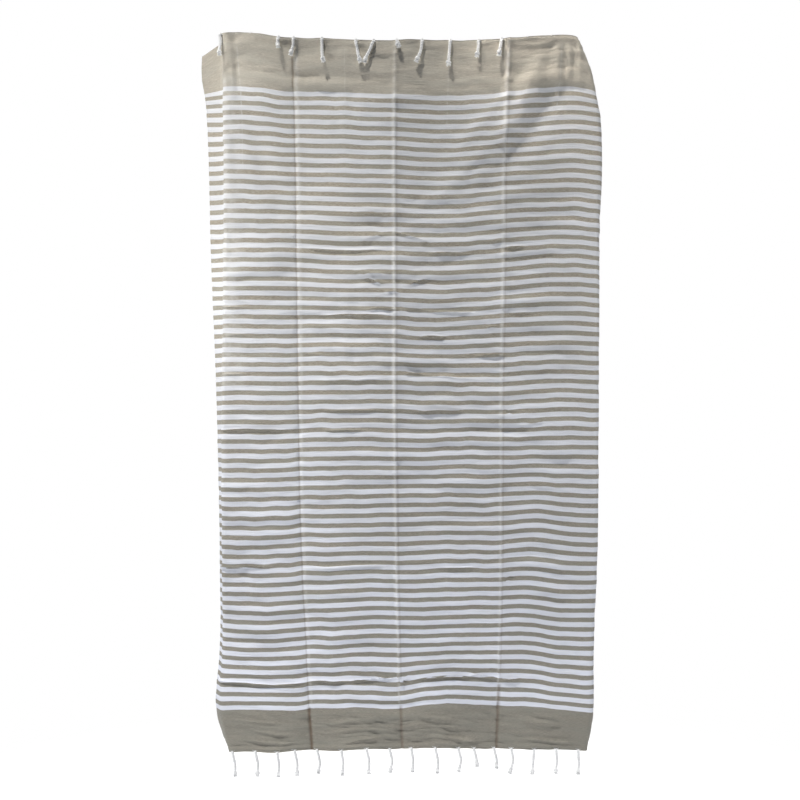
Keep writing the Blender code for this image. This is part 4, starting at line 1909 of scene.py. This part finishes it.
    def add_tassel(self, loft: Loft, tassel: Tassel, source: np.random.Generator) -> None:
        """Adds a tassel: its root, its cord, its knot and its tuft.

        Args:
            loft: The fringe's mesh.
            tassel: The tassel.
            source: The fringe's random numbers.
        """
        path = self.cord_path(tassel)
        along = run_along(path)
        left = along[-1] - along
        below = self.tuft_length + self.knot_length
        knot = int(np.argmin(np.abs(left - self.tuft_length - self.knot_length / 2)))
        cord_end = int(np.argmin(np.abs(left - below))) + self.knot_steps
        ends = (max(knot - self.knot_steps, 0), min(knot + self.knot_steps, len(path) - 1))
        axis = path[ends[1]] - path[ends[0]]
        axis /= np.linalg.norm(axis)
        side = np.cross(axis, KNOT_ASKEW)
        side /= np.linalg.norm(side)
        self.add_root(loft, tassel, path, source)
        self.add_cord(loft, path[:cord_end])
        self.add_knot(loft, path[knot], axis, side, source.uniform(0, math.pi))
        start = path[knot] + axis * self.knot_length * self.tuft_from
        self.add_tuft(loft, start, axis, side, source)

    def build(self, yarn: bpy.types.Material, cloth: bpy.types.Material) -> bpy.types.Object:
        """Makes the fringe.

        Args:
            yarn: The tassels' yarn.
            cloth: The woven cotton of the strip.

        Returns:
            The object.
        """
        source = np.random.default_rng(self.seed)
        loft = Loft()
        self.add_strip(loft)
        for tassel in self.tassels:
            self.add_tassel(loft, tassel, source)
        return loft.mesh_object(self.name, (yarn, cloth))


# ---------------------------------------------------------------------------------------------
# The studio
# ---------------------------------------------------------------------------------------------


@dataclass
class Lamp:
    """A large soft light."""

    name: str
    at: tuple
    aim: tuple
    size: float
    power: float
    colour: tuple
    spread: float = 180.0

    def build(self) -> None:
        """Makes the light."""
        data = bpy.data.lights.new(self.name, "AREA")
        data.shape = "DISK"
        data.size = self.size
        data.energy = self.power
        data.color = self.colour
        data.spread = math.radians(self.spread)
        lamp = linked(self.name, data)
        lamp.location = self.at
        away = Vector(self.aim) - Vector(self.at)
        lamp.rotation_euler = away.to_track_quat("-Z", "Y").to_euler()


@dataclass
class Studio:
    """A pale floor in an even white room, with soft lights and the camera."""

    floor_level: float = -2.06
    floor_radius: float = 1.9
    floor_fade: float = 0.5
    floor_glow: float = 0.6
    floor_colour: Colour = (0.86, 0.86, 0.86, 1.0)
    floor_roughness: float = 0.9
    floor_corners: int = 96
    camera_at: tuple = (0.0, -3.1, -0.718)
    camera_dip: float = 2.1
    camera_lens: float = 59.76
    camera_sensor: float = 36.0
    backdrop: float = 1.0
    fill: float = 0.105
    fill_colour: Colour = (0.74, 0.94, 1.27, 1.0)
    sun_at: tuple = (-0.5, -0.72, 1.8)
    sun_power: float = 2.65
    sun_softness: float = 3.5
    sun_colour: tuple = (1.0, 0.98, 0.95)
    lamps: tuple = (
        Lamp("key", (-1.35, -0.42, -0.5), (-0.1, 0.0, -0.7), 0.5, 9.8, (1.0, 0.985, 0.965)),
        Lamp("side", (3.2, -0.9, 0.4), (0.0, 0.0, -0.8), 0.8, 18.0, (1.0, 0.96, 0.91)),
        Lamp("right", (1.35, -0.38, -0.8), (0.1, 0.0, -0.8), 0.5, 3.6, (1.0, 0.985, 0.96)),
        Lamp("back", (0.9, 3.2, 0.6), (0.0, 0.0, -0.8), 1.2, 75.0, (1.0, 0.98, 0.95)),
        Lamp("corner", (-0.14, -0.45, 0.40), (0.59, 0.0, -0.06), 0.5, 0.56, (1.0, 0.94, 0.88),
             spread=30.0),
        Lamp("left corner", (-0.8, -0.7, 0.35), (-0.42, 0.0, -0.02), 0.2, 0.035, (1.0, 1.0, 1.0),
             spread=15.0),
    )

    def build_floor(self) -> bpy.types.Object:
        """Makes the floor, which fades into the room.

        Returns:
            The floor.
        """
        mesh = bpy.data.meshes.new("floor")
        turns = np.arange(self.floor_corners) * 2 * math.pi / self.floor_corners
        ring = np.stack([np.cos(turns), np.sin(turns), np.zeros(len(turns))], 1)
        mesh.from_pydata(ring, [], [tuple(range(self.floor_corners))])
        floor = linked("floor", mesh)
        floor.location = (0.0, 0.0, self.floor_level)
        floor.scale = (self.floor_radius, self.floor_radius, 1.0)
        made = bpy.data.materials.new("pale_floor")
        made.use_nodes = True
        graph = Graph(made.node_tree)
        shader = made.node_tree.nodes["Principled BSDF"]
        shader.inputs["Base Color"].default_value = self.floor_colour
        shader.inputs["Roughness"].default_value = self.floor_roughness
        shader.inputs["Emission Color"].default_value = PURE_WHITE
        shader.inputs["Emission Strength"].default_value = self.floor_glow
        place = graph.add("ShaderNodeTexCoord").outputs["Object"]
        length = graph.add("ShaderNodeVectorMath", operation="LENGTH")
        graph.feed(length.inputs[0], place)
        fade = graph.span(length.outputs["Value"], 1.0, self.floor_fade)
        graph.feed(shader.inputs["Alpha"], fade)
        mesh.materials.append(made)
        return floor

    def build_room(self) -> None:
        """Lights the room evenly, and shows it white."""
        world = bpy.data.worlds.new("room")
        bpy.context.scene.world = world
        world.use_nodes = True
        world.node_tree.nodes.clear()
        graph = Graph(world.node_tree)
        shown = graph.add("ShaderNodeBackground")
        shown.inputs["Color"].default_value = PURE_WHITE
        shown.inputs["Strength"].default_value = self.backdrop
        lit = graph.add("ShaderNodeBackground")
        lit.inputs["Color"].default_value = self.fill_colour
        lit.inputs["Strength"].default_value = self.fill
        path = graph.add("ShaderNodeLightPath")
        mix = graph.add("ShaderNodeMixShader")
        graph.feed(mix.inputs[0], path.outputs["Is Camera Ray"])
        graph.feed(mix.inputs[1], lit.outputs[0])
        graph.feed(mix.inputs[2], shown.outputs[0])
        output = graph.add("ShaderNodeOutputWorld")
        graph.feed(output.inputs[0], mix.outputs[0])

    def build_sun(self) -> None:
        """Makes the far soft light from above, which brings out the folds across."""
        data = bpy.data.lights.new("sun", "SUN")
        data.energy = self.sun_power
        data.angle = math.radians(self.sun_softness)
        data.color = self.sun_colour
        sun = linked("sun", data)
        sun.rotation_euler = (-Vector(self.sun_at)).to_track_quat("-Z", "Y").to_euler()

    def build_camera(self) -> None:
        """Makes the camera at the angle from which the towel is seen."""
        data = bpy.data.cameras.new("camera")
        data.lens = self.camera_lens
        data.sensor_width = self.camera_sensor
        camera = linked("camera", data)
        camera.location = self.camera_at
        camera.rotation_euler = (math.radians(90.0 - self.camera_dip), 0.0, 0.0)
        bpy.context.scene.camera = camera

    def build(self) -> None:
        """Makes the room, the lights, the floor and the camera."""
        self.build_camera()
        self.build_room()
        self.build_sun()
        for lamp in self.lamps:
            lamp.build()
        self.build_floor()
        bpy.context.scene.view_settings.view_transform = "Standard"


def main() -> None:
    """Builds the cloth and its fringes, and the studio round them."""
    logging.basicConfig(level=logging.INFO, format="%(message)s")
    Studio().build()
    streaks, wear = streak_group(), wear_group()
    woven = CottonWeave().material(streaks, wear)
    yarn = CottonYarn().material(streaks, wear)
    # Painted shade: a darker, greyer copy of the yarn for the foot fringe, for the weaker light
    # there.
    shaded_foot_yarn = CottonYarn(
        "cotton_yarn_foot_shaded", light=(0.85, 0.855, 0.86, 1.0), shade=(0.58, 0.58, 0.58, 1.0)
    ).material(streaks, wear)
    cloth = HungCloth()
    towel = Towel(cloth).build(woven)
    head = Fringe("head_fringe", cloth, HEAD_TASSELS, seed=41).build(yarn, woven)
    foot = Fringe("foot_fringe", cloth, FOOT_TASSELS, seed=43).build(shaded_foot_yarn, woven)
    for piece, node, slot in (
        (towel, "towel", "cotton_weave"),
        (head, "fringe_head", "cotton_yarn"),
        (foot, "fringe_foot", "cotton_yarn"),
    ):
        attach(piece, "root")
        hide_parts(node)
        log.info("%s: %d faces", piece.name, len(piece.data.polygons))


if __name__ == "__main__":
    main()
